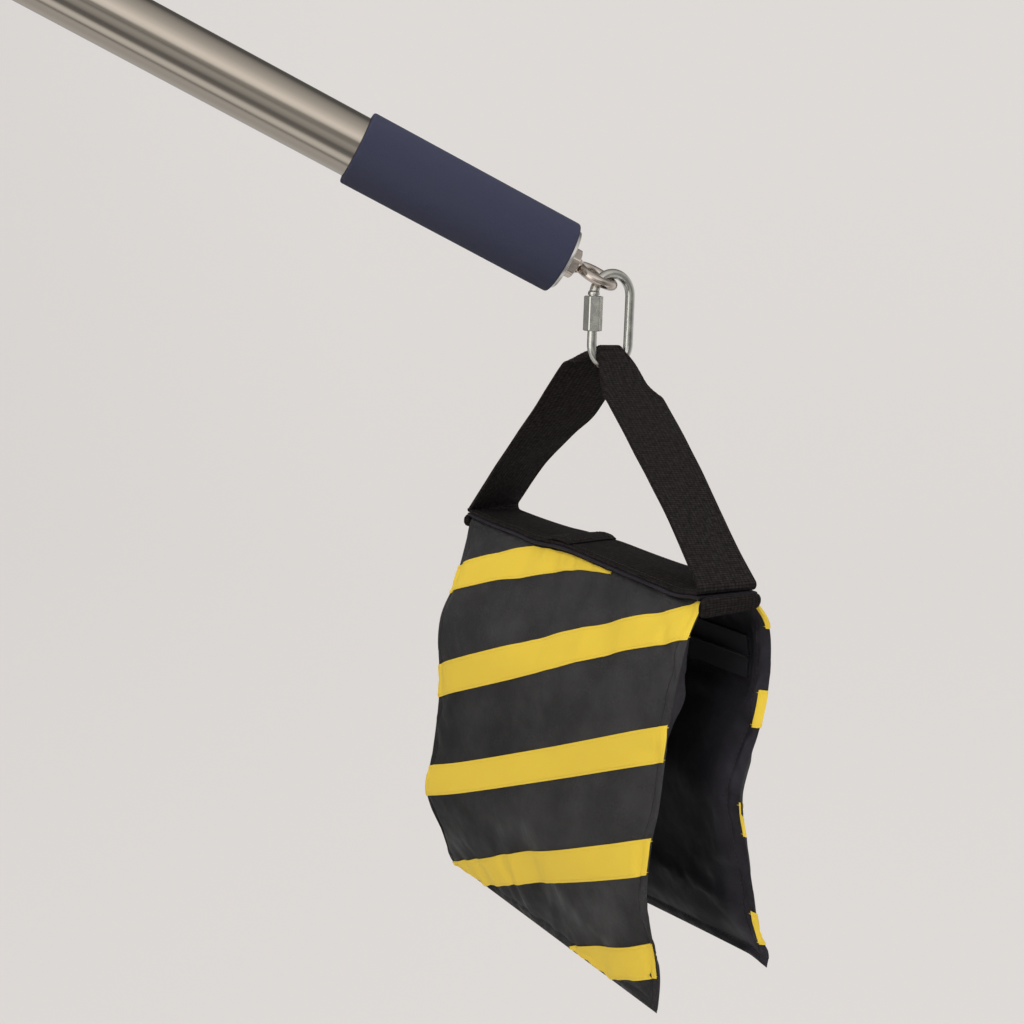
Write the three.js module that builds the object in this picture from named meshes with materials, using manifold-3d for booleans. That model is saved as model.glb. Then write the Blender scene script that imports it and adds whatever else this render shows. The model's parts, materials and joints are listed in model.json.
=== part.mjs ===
// Overhead boom arm: a telescoping boom on a tilting stand head, with a saddle sandbag
// hung from an eye at its butt end. Millimetres, +Z up. The origin is the centre of the
// flat bottom face of the stand socket, and +X runs along the boom towards the sandbag.
import * as THREE from 'three';
import { mergeVertices } from 'three/addons/utils/BufferGeometryUtils.js';
import Module from 'manifold-3d';

const wasm = await Module();
wasm.setup();

// Shared clearances and fineness
const seatGap = 0.3;
const overrun = 2;
const weldTolerance = 1e-4;
const roundSides = 28;
const smallSides = 16;
const wireSides = 12;
const degree = Math.PI / 180;

// Boom tube and its pose
const boomFall = 25.5 * degree;
const rearTubeDiameter = 38;
const frontTubeDiameter = 32;
const tubeWall = 1.5;
const rearTubeLength = 1200;
const frontTubeLength = 1000;
const frontTubeReach = 180;
const buttReach = 480;
const rearTubeRadius = rearTubeDiameter / 2;
const frontTubeRadius = frontTubeDiameter / 2;

// Foam grip
const foamWall = 3.7;
const foamLength = 141.5;
const foamRounding = 3;
const foamInnerRadius = rearTubeRadius + seatGap;
const foamOuterRadius = foamInnerRadius + foamWall;

// Stand receiver
const spigotDiameter = 16;
const spigotPlay = 0.3;
const socketDepth = 45;
const receiverRadius = 18;
const receiverHeight = 58;
const receiverChamfer = 2;
const forkRise = 26;
const forkRadius = 17;
const forkEarThickness = 8;
const receiverBossRadius = 9;
const receiverBossLength = 6;
const receiverKnobHeight = 24;
const tiltAxisHeight = receiverHeight + forkRise;

// Tilt joint
const tiltBoltDiameter = 10;
const tiltBoltPlay = 0.3;
const lugWidth = 22;
const lugRadius = 16;
const frictionDiscThickness = 1.5;
const washerThickness = 2;
const washerRadius = 11;
const boltHeadThickness = 6.4;
const boltHeadFlats = 17;
const tiltLeverHubRadius = 11;
const tiltLeverHubLength = 18;
const tiltLeverArmLength = 74;
const tiltLeverArmRadius = 4.5;
const tiltLeverTipRadius = 7;
const tiltLeverRake = 18 * degree;
const tiltLeverTurn = 35 * degree;
const tiltThreadStand = 3;

// Split clamp on the tube
const lugDrop = 48;
const clampLength = 70;
const clampWall = 6.5;
const clampSlit = 3;
const clampEarThickness = 8;
const clampEarRise = 20;
const clampScrewRise = 11;
const clampNutFlats = 13;
const clampNutThickness = 6.5;
const linerWall = 2;
const linerLength = 66;
const lugLength = 36;
const linerInnerRadius = rearTubeRadius + seatGap;
const linerOuterRadius = linerInnerRadius + linerWall;
const clampInnerRadius = linerOuterRadius + seatGap;
const clampOuterRadius = clampInnerRadius + clampWall;

// T-handles
const handleHubRadius = 8;
const handleHubLength = 16;
const clampHandleHubLength = 31;
const handleBarRadius = 4.5;
const handleBarLength = 52;
const handleStudDiameter = 8;
const handleBarInset = 6;

// Extension lock collar and bushes
const collarOuterRadius = 26;
const collarGripLength = 30;
const collarNoseLength = 30;
const collarBossRadius = 9;
const collarBossLength = 6;
const bushLength = 20;
const bushFlange = 3;
const tailBushLength = 20;
const tailPlugLength = 18;

// Front spigot
const frontPlugLength = 30;
const frontPlugFlange = 4;
const spigotLength = 45;
const spigotGrooveDiameter = 13;
const spigotGrooveWidth = 10;
const spigotTipDiameter = 10;
const spigotTipLength = 12;
const spigotRootLength = 24;

// Butt end plug, eye and its nuts
const plugFlange = 2.2;
const plugLength = 30;
const eyeShankDiameter = 10;
const eyeShankPlay = 0.3;
const eyeNutFlats = 17;
const eyeNutThickness = 6.4;
const lockNutThickness = 8;
const eyeShankTail = 3;
const eyeWireDiameter = 6.2;
const eyeRingRadius = 11.3;
const eyeRoll = 13 * degree;

// Quick link
const linkWireDiameter = 6;
const linkLength = 63;
const linkWidth = 33.7;
const linkGap = 6;
const linkGapBelowBend = 1.6;
const sleeveFlats = 10.6;
const sleeveLength = 21.5;
const sleevePlay = 0.3;
const linkPlay = 0.6;
const linkTurn = -67 * degree;

// Sandbag pose and webbing
const bagLean = 2.4 * degree;
const bagApexOffset = 10;
const pouchWidth = 250;
const frontPouchDrop = 249;
const backPouchDrop = 238;
const webbingWidth = 42;
const webbingThickness = 2;
const webbingRise = 113;
const apexStack = 9.4;
const apexPlay = 0.45;
const apexSpread = 80 * degree;
const bunchLength = 38;
const overlapEnd = -18;
const overlapHidden = 34;
const overlapRamp = 8;
const foldRadius = 1.4;
const liningThickness = 1.6;
const liningWidth = 44;
const hemHeight = 9;
const hemThickness = 4.6;

// Pouches, ribbons and zips
const pouchSeamThickness = 3;
const pouchPuff = 5;
const ribbonWidth = 21;
const ribbonThickness = 0.8;
const clothGap = 0.6;
const ribbonCount = 5;
const ribbonFirstDrop = 45;
const ribbonPitch = 69.5;
const ribbonRise = 102;
const ribbonInset = 1.5;
const zipTapeWidth = 26;
const zipTapeThickness = 1;
const zipTapeLength = 214;
const zipDrop = 44;
const zipSliderLength = 11;
const zipSliderWidth = 8;
const zipSliderHeight = 3;
const zipSliderInset = 12;
const zipPullLength = 24;
const zipPullWidth = 5;

// Finishes
const finishes = {
  stainless: { color: 0xb9b1a5, roughness: 0.28, metalness: 1 },
  zinc: { color: 0xc4c9ca, roughness: 0.32, metalness: 1 },
  casting: { color: 0x2b2c2e, roughness: 0.6, metalness: 0.3 },
  plastic: { color: 0x1d1e20, roughness: 0.5, metalness: 0 },
  foam: { color: 0x31344f, roughness: 0.95, metalness: 0 },
  webbing: { color: 0x2a2628, roughness: 0.9, metalness: 0 },
  nylon: { color: 0x2c2d31, roughness: 0.8, metalness: 0 },
  ribbon: { color: 0xe6c846, roughness: 0.75, metalness: 0 },
};

// Solids: joining, cutting and plain shapes
function solidOf(geometry) {
  const bare = geometry.clone();
  bare.deleteAttribute('normal');
  bare.deleteAttribute('uv');
  const welded = mergeVertices(bare, weldTolerance);
  return new wasm.Manifold(new wasm.Mesh({
    numProp: 3,
    vertProperties: new Float32Array(welded.attributes.position.array),
    triVerts: new Uint32Array(welded.index.array),
  }));
}

function geometryOf(solid) {
  const mesh = solid.getMesh();
  const geometry = new THREE.BufferGeometry();
  const positions = new Float32Array(mesh.numVert * 3);
  for (let i = 0; i < mesh.numVert; i += 1) {
    for (let k = 0; k < 3; k += 1) {
      positions[i * 3 + k] = mesh.vertProperties[i * mesh.numProp + k];
    }
  }
  geometry.setAttribute('position', new THREE.BufferAttribute(positions, 3));
  geometry.setIndex(new THREE.BufferAttribute(new Uint32Array(mesh.triVerts), 1));
  geometry.computeVertexNormals();
  return geometry;
}

function joined(base, ...others) {
  const total = others.reduce((sum, other) => sum.add(solidOf(other)), solidOf(base));
  return geometryOf(total);
}

function cut(base, ...tools) {
  const rest = tools.reduce((left, tool) => left.subtract(solidOf(tool)), solidOf(base));
  return geometryOf(rest);
}

// Turns the faces round if they look inwards
function facingOut(geometry) {
  const position = geometry.attributes.position;
  const index = geometry.index.array;
  const corners = [new THREE.Vector3(), new THREE.Vector3(), new THREE.Vector3()];
  let volume = 0;
  for (let i = 0; i < index.length; i += 3) {
    corners.forEach((corner, k) => corner.fromBufferAttribute(position, index[i + k]));
    volume += corners[0].dot(corners[1].cross(corners[2]));
  }
  if (volume < 0) {
    for (let i = 0; i < index.length; i += 3) {
      [index[i], index[i + 1]] = [index[i + 1], index[i]];
    }
  }
  return geometry;
}

// A turned solid along X; points are [x, radius], from axis to axis or closed on themselves
function turnedX(points, sides = roundSides) {
  const profile = points.map(([along, radius]) => new THREE.Vector2(radius, along));
  const geometry = new THREE.LatheGeometry(profile, sides);
  geometry.rotateZ(-Math.PI / 2);
  return facingOut(geometry);
}

function rodX(radius, from, to, sides = smallSides) {
  return turnedX([[from, 0], [from, radius], [to, radius], [to, 0]], sides);
}

function rodY(radius, from, to, sides = smallSides) {
  const geometry = new THREE.CylinderGeometry(radius, radius, to - from, sides);
  geometry.translate(0, (from + to) / 2, 0);
  return geometry;
}

function rodZ(radius, from, to, sides = smallSides) {
  const geometry = new THREE.CylinderGeometry(radius, radius, to - from, sides);
  geometry.rotateX(Math.PI / 2);
  geometry.translate(0, 0, (from + to) / 2);
  return geometry;
}

function ringX(innerRadius, outerRadius, from, to, sides = roundSides) {
  const corners = [[from, innerRadius], [from, outerRadius], [to, outerRadius], [to, innerRadius]];
  return turnedX([...corners, corners[0]], sides);
}

function boxBetween(min, max) {
  const size = max.map((value, k) => value - min[k]);
  const geometry = new THREE.BoxGeometry(...size);
  geometry.translate((min[0] + max[0]) / 2, (min[1] + max[1]) / 2, (min[2] + max[2]) / 2);
  return geometry;
}

// A hexagonal bar along Z, drilled through where a bore radius is given
function hexZ(flats, from, to, boreRadius = 0) {
  const shape = new THREE.Shape();
  const cornerRadius = flats / Math.sqrt(3);
  for (let i = 0; i < 6; i += 1) {
    const angle = i * 60 * degree;
    const corner = [cornerRadius * Math.cos(angle), cornerRadius * Math.sin(angle)];
    if (i === 0) shape.moveTo(...corner);
    else shape.lineTo(...corner);
  }
  if (boreRadius > 0) {
    const hole = new THREE.Path();
    hole.absarc(0, 0, boreRadius, 0, 2 * Math.PI, true);
    shape.holes.push(hole);
  }
  const settings = { depth: to - from, bevelEnabled: false, curveSegments: smallSides };
  const geometry = new THREE.ExtrudeGeometry(shape, settings);
  geometry.translate(0, 0, from);
  return geometry;
}

function indexedGeometry(positions, faces) {
  const geometry = new THREE.BufferGeometry();
  geometry.setAttribute('position', new THREE.Float32BufferAttribute(positions, 3));
  geometry.setIndex(faces);
  geometry.computeVertexNormals();
  return facingOut(geometry);
}

// A closed skin over rings of points, with flat ends
function loftedSolid(rings) {
  const count = rings[0].length;
  const positions = rings.flat(2);
  const faces = [];
  for (let r = 0; r < rings.length - 1; r += 1) {
    for (let i = 0; i < count; i += 1) {
      const next = (i + 1) % count;
      const a = r * count + i;
      const b = r * count + next;
      faces.push(a, b, a + count, b, b + count, a + count);
    }
  }
  const last = (rings.length - 1) * count;
  for (let i = 1; i < count - 1; i += 1) {
    faces.push(0, i + 1, i);
    faces.push(last, last + i, last + i + 1);
  }
  return indexedGeometry(positions, faces);
}

// A closed sheet with thickness: point(column, row, side) gives its faces, side 0 or 1
function sheetSolid(columns, rows, point) {
  const positions = [];
  const faces = [];
  const width = columns + 1;
  const layer = width * (rows + 1);
  for (let side = 0; side < 2; side += 1) {
    for (let j = 0; j <= rows; j += 1) {
      for (let i = 0; i <= columns; i += 1) {
        positions.push(...point(i / columns, j / rows, side));
      }
    }
  }
  const at = (i, j, side) => side * layer + j * width + i;
  const quad = (a, b, c, d) => faces.push(a, b, c, a, c, d);
  for (let j = 0; j < rows; j += 1) {
    for (let i = 0; i < columns; i += 1) {
      quad(at(i, j, 0), at(i + 1, j, 0), at(i + 1, j + 1, 0), at(i, j + 1, 0));
      quad(at(i, j, 1), at(i, j + 1, 1), at(i + 1, j + 1, 1), at(i + 1, j, 1));
    }
  }
  for (let i = 0; i < columns; i += 1) {
    quad(at(i, 0, 0), at(i, 0, 1), at(i + 1, 0, 1), at(i + 1, 0, 0));
    quad(at(i, rows, 0), at(i + 1, rows, 0), at(i + 1, rows, 1), at(i, rows, 1));
  }
  for (let j = 0; j < rows; j += 1) {
    quad(at(0, j, 0), at(0, j + 1, 0), at(0, j + 1, 1), at(0, j, 1));
    quad(at(columns, j, 0), at(columns, j, 1), at(columns, j + 1, 1), at(columns, j + 1, 0));
  }
  return indexedGeometry(positions, faces);
}

function piece(name, geometry, finish) {
  const mesh = new THREE.Mesh(geometry, new THREE.MeshStandardMaterial(finishes[finish]));
  mesh.name = name;
  return mesh;
}

// A T-handle on a stud: the stud tip is at the origin and the handle stands along -Y
function tHandle(studLength, hubLength) {
  const stud = rodY(handleStudDiameter / 2, -studLength - overrun, 0);
  const hub = rodY(handleHubRadius, -studLength - hubLength, -studLength);
  const bar = rodZ(handleBarRadius, -handleBarLength / 2, handleBarLength / 2);
  bar.translate(0, -studLength - hubLength + handleBarInset, 0);
  return joined(stud, hub, bar);
}

// Stand head
const forkInner = lugWidth / 2 + 2 * seatGap + frictionDiscThickness;
const forkOuter = forkInner + forkEarThickness;

function standReceiver() {
  const bodyProfile = [
    [0, 0],
    [0, receiverRadius - receiverChamfer],
    [receiverChamfer, receiverRadius],
    [receiverHeight, receiverRadius],
    [receiverHeight, 0],
  ];
  const body = turnedX(bodyProfile);
  body.rotateY(-Math.PI / 2);
  const shoulder = boxBetween(
    [-forkRadius, -forkOuter, receiverHeight - receiverRadius],
    [forkRadius, forkOuter, receiverHeight],
  );
  const ears = [];
  for (const side of [-1, 1]) {
    const from = side < 0 ? -forkOuter : forkInner;
    const round = rodY(forkRadius, from, from + forkEarThickness, roundSides);
    round.translate(0, 0, tiltAxisHeight);
    const stem = boxBetween(
      [-forkRadius, from, receiverHeight - overrun],
      [forkRadius, from + forkEarThickness, tiltAxisHeight],
    );
    ears.push(round, stem);
  }
  const boss = rodY(receiverBossRadius, -receiverRadius - receiverBossLength, 0);
  boss.translate(0, 0, receiverKnobHeight);
  const whole = joined(body, shoulder, ...ears, boss);
  const socketRadius = (spigotDiameter + spigotPlay) / 2;
  const socket = rodZ(socketRadius, -overrun, socketDepth, roundSides);
  const screwRadius = handleStudDiameter / 2 + seatGap;
  const screwHole = rodY(screwRadius, -receiverRadius - receiverBossLength - overrun, 0);
  screwHole.translate(0, 0, receiverKnobHeight);
  const boltHole = rodY(
    (tiltBoltDiameter + tiltBoltPlay) / 2 + seatGap,
    -forkOuter - overrun,
    forkOuter + overrun,
  );
  boltHole.translate(0, 0, tiltAxisHeight);
  return cut(whole, socket, screwHole, boltHole);
}

function receiverKnob() {
  const tip = -spigotDiameter / 2 - seatGap;
  const bossEnd = -receiverRadius - receiverBossLength;
  const geometry = tHandle(tip - bossEnd + seatGap, handleHubLength);
  geometry.translate(0, tip, receiverKnobHeight);
  return geometry;
}

// Pieces on the tilt axis; the origin is the axis, along Y
function frictionDisc(side) {
  const innerRadius = tiltBoltDiameter / 2 + 2 * seatGap;
  const geometry = ringX(innerRadius, lugRadius, 0, frictionDiscThickness);
  geometry.rotateZ(Math.PI / 2);
  const from = lugWidth / 2 + seatGap;
  geometry.translate(0, side > 0 ? from : -from - frictionDiscThickness, 0);
  return geometry;
}

function tiltBolt() {
  const headFrom = forkOuter + seatGap;
  const head = hexZ(boltHeadFlats, headFrom, headFrom + boltHeadThickness);
  head.rotateX(Math.PI / 2);
  const end = forkOuter + washerThickness + 2 * seatGap + tiltLeverHubLength + tiltThreadStand;
  const shank = rodY(tiltBoltDiameter / 2, -headFrom - overrun, end);
  return joined(shank, head);
}

function tiltWasher() {
  const geometry = ringX(tiltBoltDiameter / 2 + seatGap, washerRadius, 0, washerThickness);
  geometry.rotateZ(Math.PI / 2);
  geometry.translate(0, forkOuter + seatGap, 0);
  return geometry;
}

function tiltLever() {
  const from = forkOuter + washerThickness + 2 * seatGap;
  const hub = rodY(tiltLeverHubRadius, from, from + tiltLeverHubLength, roundSides);
  const arm = rodZ(tiltLeverArmRadius, 0, tiltLeverArmLength);
  const tip = new THREE.SphereGeometry(tiltLeverTipRadius, smallSides, smallSides / 2);
  tip.translate(0, 0, tiltLeverArmLength);
  const bore = rodY(tiltBoltDiameter / 2 + seatGap, from - overrun, from + tiltLeverHubLength + overrun);
  for (const shape of [arm, tip]) {
    shape.rotateX(-tiltLeverRake);
    shape.translate(0, from + tiltLeverHubLength / 2, 0);
  }
  const geometry = cut(joined(hub, arm, tip), bore);
  geometry.rotateY(Math.PI - tiltLeverTurn);
  return geometry;
}

// Split clamp round the tube; the origin is the tilt axis and the tube axis is lugDrop above
const clampScrewHeight = lugDrop + clampOuterRadius + clampScrewRise;
const clampEarFace = clampSlit / 2 + clampEarThickness;

function clampBody() {
  const sleeve = ringX(clampInnerRadius, clampOuterRadius, -clampLength / 2, clampLength / 2);
  sleeve.translate(0, 0, lugDrop);
  const lugTop = lugDrop - clampInnerRadius - clampWall / 2;
  const lugRound = rodY(lugRadius, -lugWidth / 2, lugWidth / 2, roundSides);
  const lugStem = boxBetween([-lugRadius, -lugWidth / 2, 0], [lugRadius, lugWidth / 2, lugTop]);
  const lugFoot = boxBetween(
    [-lugLength / 2, -lugWidth / 2, lugDrop - clampOuterRadius],
    [lugLength / 2, lugWidth / 2, lugTop],
  );
  const earTop = lugDrop + clampOuterRadius + clampEarRise;
  const ears = boxBetween(
    [-clampLength / 2, -clampEarFace, lugDrop + clampInnerRadius + clampWall / 2],
    [clampLength / 2, clampEarFace, earTop],
  );
  const slit = boxBetween(
    [-clampLength / 2 - overrun, -clampSlit / 2, lugDrop],
    [clampLength / 2 + overrun, clampSlit / 2, earTop + overrun],
  );
  const bore = rodX(
    clampInnerRadius, -clampLength / 2 - overrun, clampLength / 2 + overrun, roundSides,
  );
  bore.translate(0, 0, lugDrop);
  const boltHole = rodY(
    (tiltBoltDiameter + tiltBoltPlay) / 2 + seatGap, -lugWidth / 2 - overrun, lugWidth / 2 + overrun,
  );
  const screwHole = rodY(
    handleStudDiameter / 2 + seatGap, -clampEarFace - overrun, clampEarFace + overrun,
  );
  screwHole.translate(0, 0, clampScrewHeight);
  return cut(joined(sleeve, lugRound, lugStem, lugFoot, ears), bore, slit, boltHole, screwHole);
}

function clampLiner() {
  const sleeve = ringX(linerInnerRadius, linerOuterRadius, -linerLength / 2, linerLength / 2);
  const slit = boxBetween(
    [-linerLength / 2 - overrun, -clampSlit / 2, 0],
    [linerLength / 2 + overrun, clampSlit / 2, linerOuterRadius + overrun],
  );
  const geometry = cut(sleeve, slit);
  geometry.translate(0, 0, lugDrop);
  return geometry;
}

function clampKnob() {
  const reach = clampEarFace + seatGap + clampNutThickness;
  const geometry = tHandle(reach + clampEarFace + seatGap, clampHandleHubLength);
  geometry.translate(0, reach, clampScrewHeight);
  return geometry;
}

function clampNut() {
  const from = clampEarFace + seatGap;
  const geometry = hexZ(
    clampNutFlats, from, from + clampNutThickness, handleStudDiameter / 2 + seatGap,
  );
  geometry.rotateX(-Math.PI / 2);
  geometry.translate(0, 0, clampScrewHeight);
  return geometry;
}

// Boom pieces; the origin is the foot of the tilt axis on the tube axis, along X
function tube(radius, from, to) {
  return ringX(radius - tubeWall, radius, from, to);
}

const rearTubeFrom = buttReach - rearTubeLength;
const frontTubeFrom = rearTubeFrom - frontTubeReach;
const frontTubeTo = frontTubeFrom + frontTubeLength;
const rearBore = rearTubeRadius - tubeWall;
const frontBore = frontTubeRadius - tubeWall;

function foamGrip() {
  const from = buttReach - foamLength;
  const profile = [[from, foamInnerRadius]];
  const steps = 3;
  for (let i = 0; i <= steps; i += 1) {
    const angle = (i / steps) * 90 * degree;
    profile.push([
      from + foamRounding * (1 - Math.cos(angle)),
      foamOuterRadius - foamRounding * (1 - Math.sin(angle)),
    ]);
  }
  for (let i = steps; i >= 0; i -= 1) {
    const angle = (i / steps) * 90 * degree;
    profile.push([
      buttReach - foamRounding * (1 - Math.cos(angle)),
      foamOuterRadius - foamRounding * (1 - Math.sin(angle)),
    ]);
  }
  profile.push([buttReach, foamInnerRadius], profile[0]);
  return turnedX(profile);
}

function lockCollar() {
  const split = rearTubeFrom - seatGap;
  const gripEnd = split + seatGap + collarGripLength;
  const noseEnd = split - collarNoseLength;
  const gripRadius = rearTubeRadius + seatGap;
  const noseRadius = frontTubeRadius + seatGap;
  const corners = [
    [noseEnd, noseRadius],
    [noseEnd, collarOuterRadius],
    [gripEnd, collarOuterRadius],
    [gripEnd, gripRadius],
    [split, gripRadius],
    [split, noseRadius],
  ];
  const ring = turnedX([...corners, corners[0]]);
  const middle = (noseEnd + split) / 2;
  const bossEnd = -collarOuterRadius - collarBossLength;
  const bossRoot = -(frontTubeRadius + collarOuterRadius) / 2;
  const boss = rodY(collarBossRadius, bossEnd, bossRoot);
  boss.translate(middle, 0, 0);
  const hole = rodY(handleStudDiameter / 2 + seatGap, bossEnd - overrun, 0);
  hole.translate(middle, 0, 0);
  return cut(joined(ring, boss), hole);
}

function collarKnob() {
  const tip = -frontTubeRadius - seatGap;
  const bossEnd = -collarOuterRadius - collarBossLength;
  const geometry = tHandle(tip - bossEnd + seatGap, handleHubLength);
  geometry.translate(rearTubeFrom - seatGap - collarNoseLength / 2, tip, 0);
  return geometry;
}

function collarBush() {
  return ringX(
    frontTubeRadius + seatGap, rearBore - seatGap,
    rearTubeFrom + bushFlange, rearTubeFrom + bushFlange + bushLength,
  );
}

function tailBush() {
  const flangeFrom = frontTubeTo + seatGap;
  return turnedX([
    [frontTubeTo - tailPlugLength, 0],
    [frontTubeTo - tailPlugLength, frontBore - seatGap],
    [flangeFrom, frontBore - seatGap],
    [flangeFrom, rearBore - seatGap],
    [flangeFrom + tailBushLength, rearBore - seatGap],
    [flangeFrom + tailBushLength, 0],
  ]);
}

const spigotSeat = frontTubeFrom - seatGap - frontPlugFlange;

function frontPlug() {
  const flangeEnd = frontTubeFrom - seatGap;
  const boreRadius = spigotDiameter / 2 + seatGap;
  const corners = [
    [spigotSeat, boreRadius],
    [spigotSeat, frontTubeRadius],
    [flangeEnd, frontTubeRadius],
    [flangeEnd, frontBore - seatGap],
    [frontTubeFrom + frontPlugLength, frontBore - seatGap],
    [frontTubeFrom + frontPlugLength, boreRadius],
  ];
  return turnedX([...corners, corners[0]]);
}

function frontSpigot() {
  const tip = spigotSeat - spigotLength;
  const grooveTo = spigotSeat - (spigotLength - spigotGrooveWidth) / 2;
  const grooveFrom = grooveTo - spigotGrooveWidth;
  const bodyRadius = spigotDiameter / 2;
  const grooveRadius = spigotGrooveDiameter / 2;
  const grooveSlope = bodyRadius - grooveRadius;
  const tipRadius = spigotTipDiameter / 2;
  return turnedX([
    [tip - spigotTipLength, 0],
    [tip - spigotTipLength, tipRadius],
    [tip, tipRadius],
    [tip, bodyRadius],
    [grooveFrom, bodyRadius],
    [grooveFrom + grooveSlope, grooveRadius],
    [grooveTo - grooveSlope, grooveRadius],
    [grooveTo, bodyRadius],
    [spigotSeat + spigotRootLength, bodyRadius],
    [spigotSeat + spigotRootLength, 0],
  ]);
}

function endPlug() {
  const bore = (eyeShankDiameter + eyeShankPlay) / 2 + seatGap;
  const flangeFrom = buttReach + seatGap;
  const corners = [
    [buttReach - plugLength, bore],
    [buttReach - plugLength, rearBore - seatGap],
    [flangeFrom, rearBore - seatGap],
    [flangeFrom, rearTubeRadius],
    [flangeFrom + plugFlange, rearTubeRadius],
    [flangeFrom + plugFlange, bore],
  ];
  return turnedX([...corners, corners[0]]);
}

const eyeNutFrom = buttReach + plugFlange + 2 * seatGap;
const eyeRingCentre = eyeNutFrom + eyeNutThickness + seatGap + eyeWireDiameter / 2 + eyeRingRadius;
const lockNutTo = buttReach - plugLength - seatGap;

function nutOnBoom(flats, from, to) {
  const geometry = hexZ(flats, from, to, eyeShankDiameter / 2 + seatGap);
  geometry.rotateY(Math.PI / 2);
  return geometry;
}

function eyeBolt() {
  const tail = lockNutTo - lockNutThickness - eyeShankTail;
  const shank = rodX(eyeShankDiameter / 2, tail, eyeRingCentre - eyeRingRadius);
  const ring = new THREE.TorusGeometry(eyeRingRadius, eyeWireDiameter / 2, wireSides, roundSides);
  ring.translate(eyeRingCentre, 0, 0);
  return joined(shank, ring);
}

// Quick link; the origin is the centre of the wire it hangs on, its legs hang along -Z
const linkRadius = linkWireDiameter / 2;
const linkBend = (linkWidth - linkWireDiameter) / 2;
const linkStraight = linkLength - linkWidth;
const linkShoulder = eyeWireDiameter / 2 + linkPlay + linkRadius - linkBend;
const linkBottom = linkShoulder - linkStraight - linkBend;
const linkBendSteps = 8;

function bendPoints(centreHeight, fromAngle, toAngle) {
  const points = [];
  for (let i = 0; i <= linkBendSteps; i += 1) {
    const angle = fromAngle + (i / linkBendSteps) * (toAngle - fromAngle);
    points.push([linkBend * Math.cos(angle), centreHeight + linkBend * Math.sin(angle)]);
  }
  return points;
}

function linkWire() {
  const gapTop = linkShoulder - linkGapBelowBend;
  const route = [
    [-linkBend, gapTop],
    ...bendPoints(linkShoulder, Math.PI, 0),
    ...bendPoints(linkShoulder - linkStraight, 0, -Math.PI),
    [-linkBend, gapTop - linkGap],
  ];
  const rings = route.map(([y, z], k) => {
    const before = route[Math.max(k - 1, 0)];
    const after = route[Math.min(k + 1, route.length - 1)];
    const heading = Math.atan2(after[1] - before[1], after[0] - before[0]);
    const ring = [];
    for (let i = 0; i < wireSides; i += 1) {
      const angle = (i / wireSides) * 2 * Math.PI;
      const out = linkRadius * Math.sin(angle);
      ring.push([
        linkRadius * Math.cos(angle),
        y - out * Math.sin(heading),
        z + out * Math.cos(heading),
      ]);
    }
    return ring;
  });
  return loftedSolid(rings);
}

function linkSleeve() {
  const geometry = hexZ(
    sleeveFlats, linkShoulder - sleeveLength, linkShoulder, linkRadius + sleevePlay,
  );
  geometry.translate(0, -linkBend, 0);
  return geometry;
}

// Sandbag; the origin is the wire at the link's bottom, X along the spine, Y front to back
const spineHeight = -webbingRise;
const spineMiddle = bagApexOffset;
const spineHalf = pouchWidth / 2;
const wrapRadius = linkRadius + apexPlay;
const hugRadius = linkBend - linkRadius - apexPlay;
const legSteps = 8;
const foldSteps = 4;
const wrapSteps = 8;
const sectionSteps = 3;

// One handle leg from the spine's end up to the link, as [x, z, bunching] of its inner face
function legRoute(side) {
  const vertex = new THREE.Vector2(spineHalf + side * spineMiddle, spineHeight + webbingThickness);
  const toCentre = Math.atan2(-vertex.y, -vertex.x);
  const heading = toCentre - Math.asin(wrapRadius / vertex.length());
  const along = new THREE.Vector2(Math.cos(heading), Math.sin(heading));
  const outward = new THREE.Vector2(along.y, -along.x);
  const touch = outward.clone().multiplyScalar(wrapRadius);
  const halfAngle = (Math.PI - heading) / 2;
  const setback = foldRadius / Math.tan(halfAngle);
  const foldCentre = new THREE.Vector2(vertex.x - setback, vertex.y + foldRadius);
  const route = [];
  for (let i = 0; i < foldSteps; i += 1) {
    const angle = -Math.PI / 2 + (i / foldSteps) * (Math.PI - 2 * halfAngle);
    route.push([
      foldCentre.x + foldRadius * Math.cos(angle),
      foldCentre.y + foldRadius * Math.sin(angle),
      0,
    ]);
  }
  const foot = vertex.clone().addScaledVector(along, setback);
  const length = touch.distanceTo(foot);
  for (let i = 0; i <= legSteps; i += 1) {
    const point = foot.clone().lerp(touch, i / legSteps);
    const left = Math.min(1, length * (1 - i / legSteps) / bunchLength);
    route.push([point.x, point.y, 1 - left * left * (3 - 2 * left)]);
  }
  return route.map(([x, z, bunching]) => [side * x, z, bunching]);
}

// The webbing from its upper end at mid spine, round the handle, to its hidden lower end
function webbingRoute() {
  const base = spineHeight + webbingThickness;
  const upper = base + webbingThickness + seatGap;
  const topEnd = spineMiddle + overlapEnd;
  const hiddenEnd = topEnd - overlapHidden;
  const farLeg = legRoute(-1);
  const nearLeg = legRoute(1).reverse();
  const fromAngle = Math.atan2(farLeg.at(-1)[1], farLeg.at(-1)[0]);
  const toAngle = Math.atan2(nearLeg[0][1], nearLeg[0][0]);
  const wrap = [];
  for (let i = 1; i < wrapSteps; i += 1) {
    const angle = fromAngle + (i / wrapSteps) * (toAngle - fromAngle);
    wrap.push([wrapRadius * Math.cos(angle), wrapRadius * Math.sin(angle), 1]);
  }
  return [
    [topEnd, upper, 0],
    [hiddenEnd - webbingThickness, upper, 0],
    [hiddenEnd - webbingThickness - overlapRamp, base, 0],
    ...farLeg,
    ...wrap,
    ...nearLeg,
    [hiddenEnd, base, 0],
  ];
}

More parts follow.
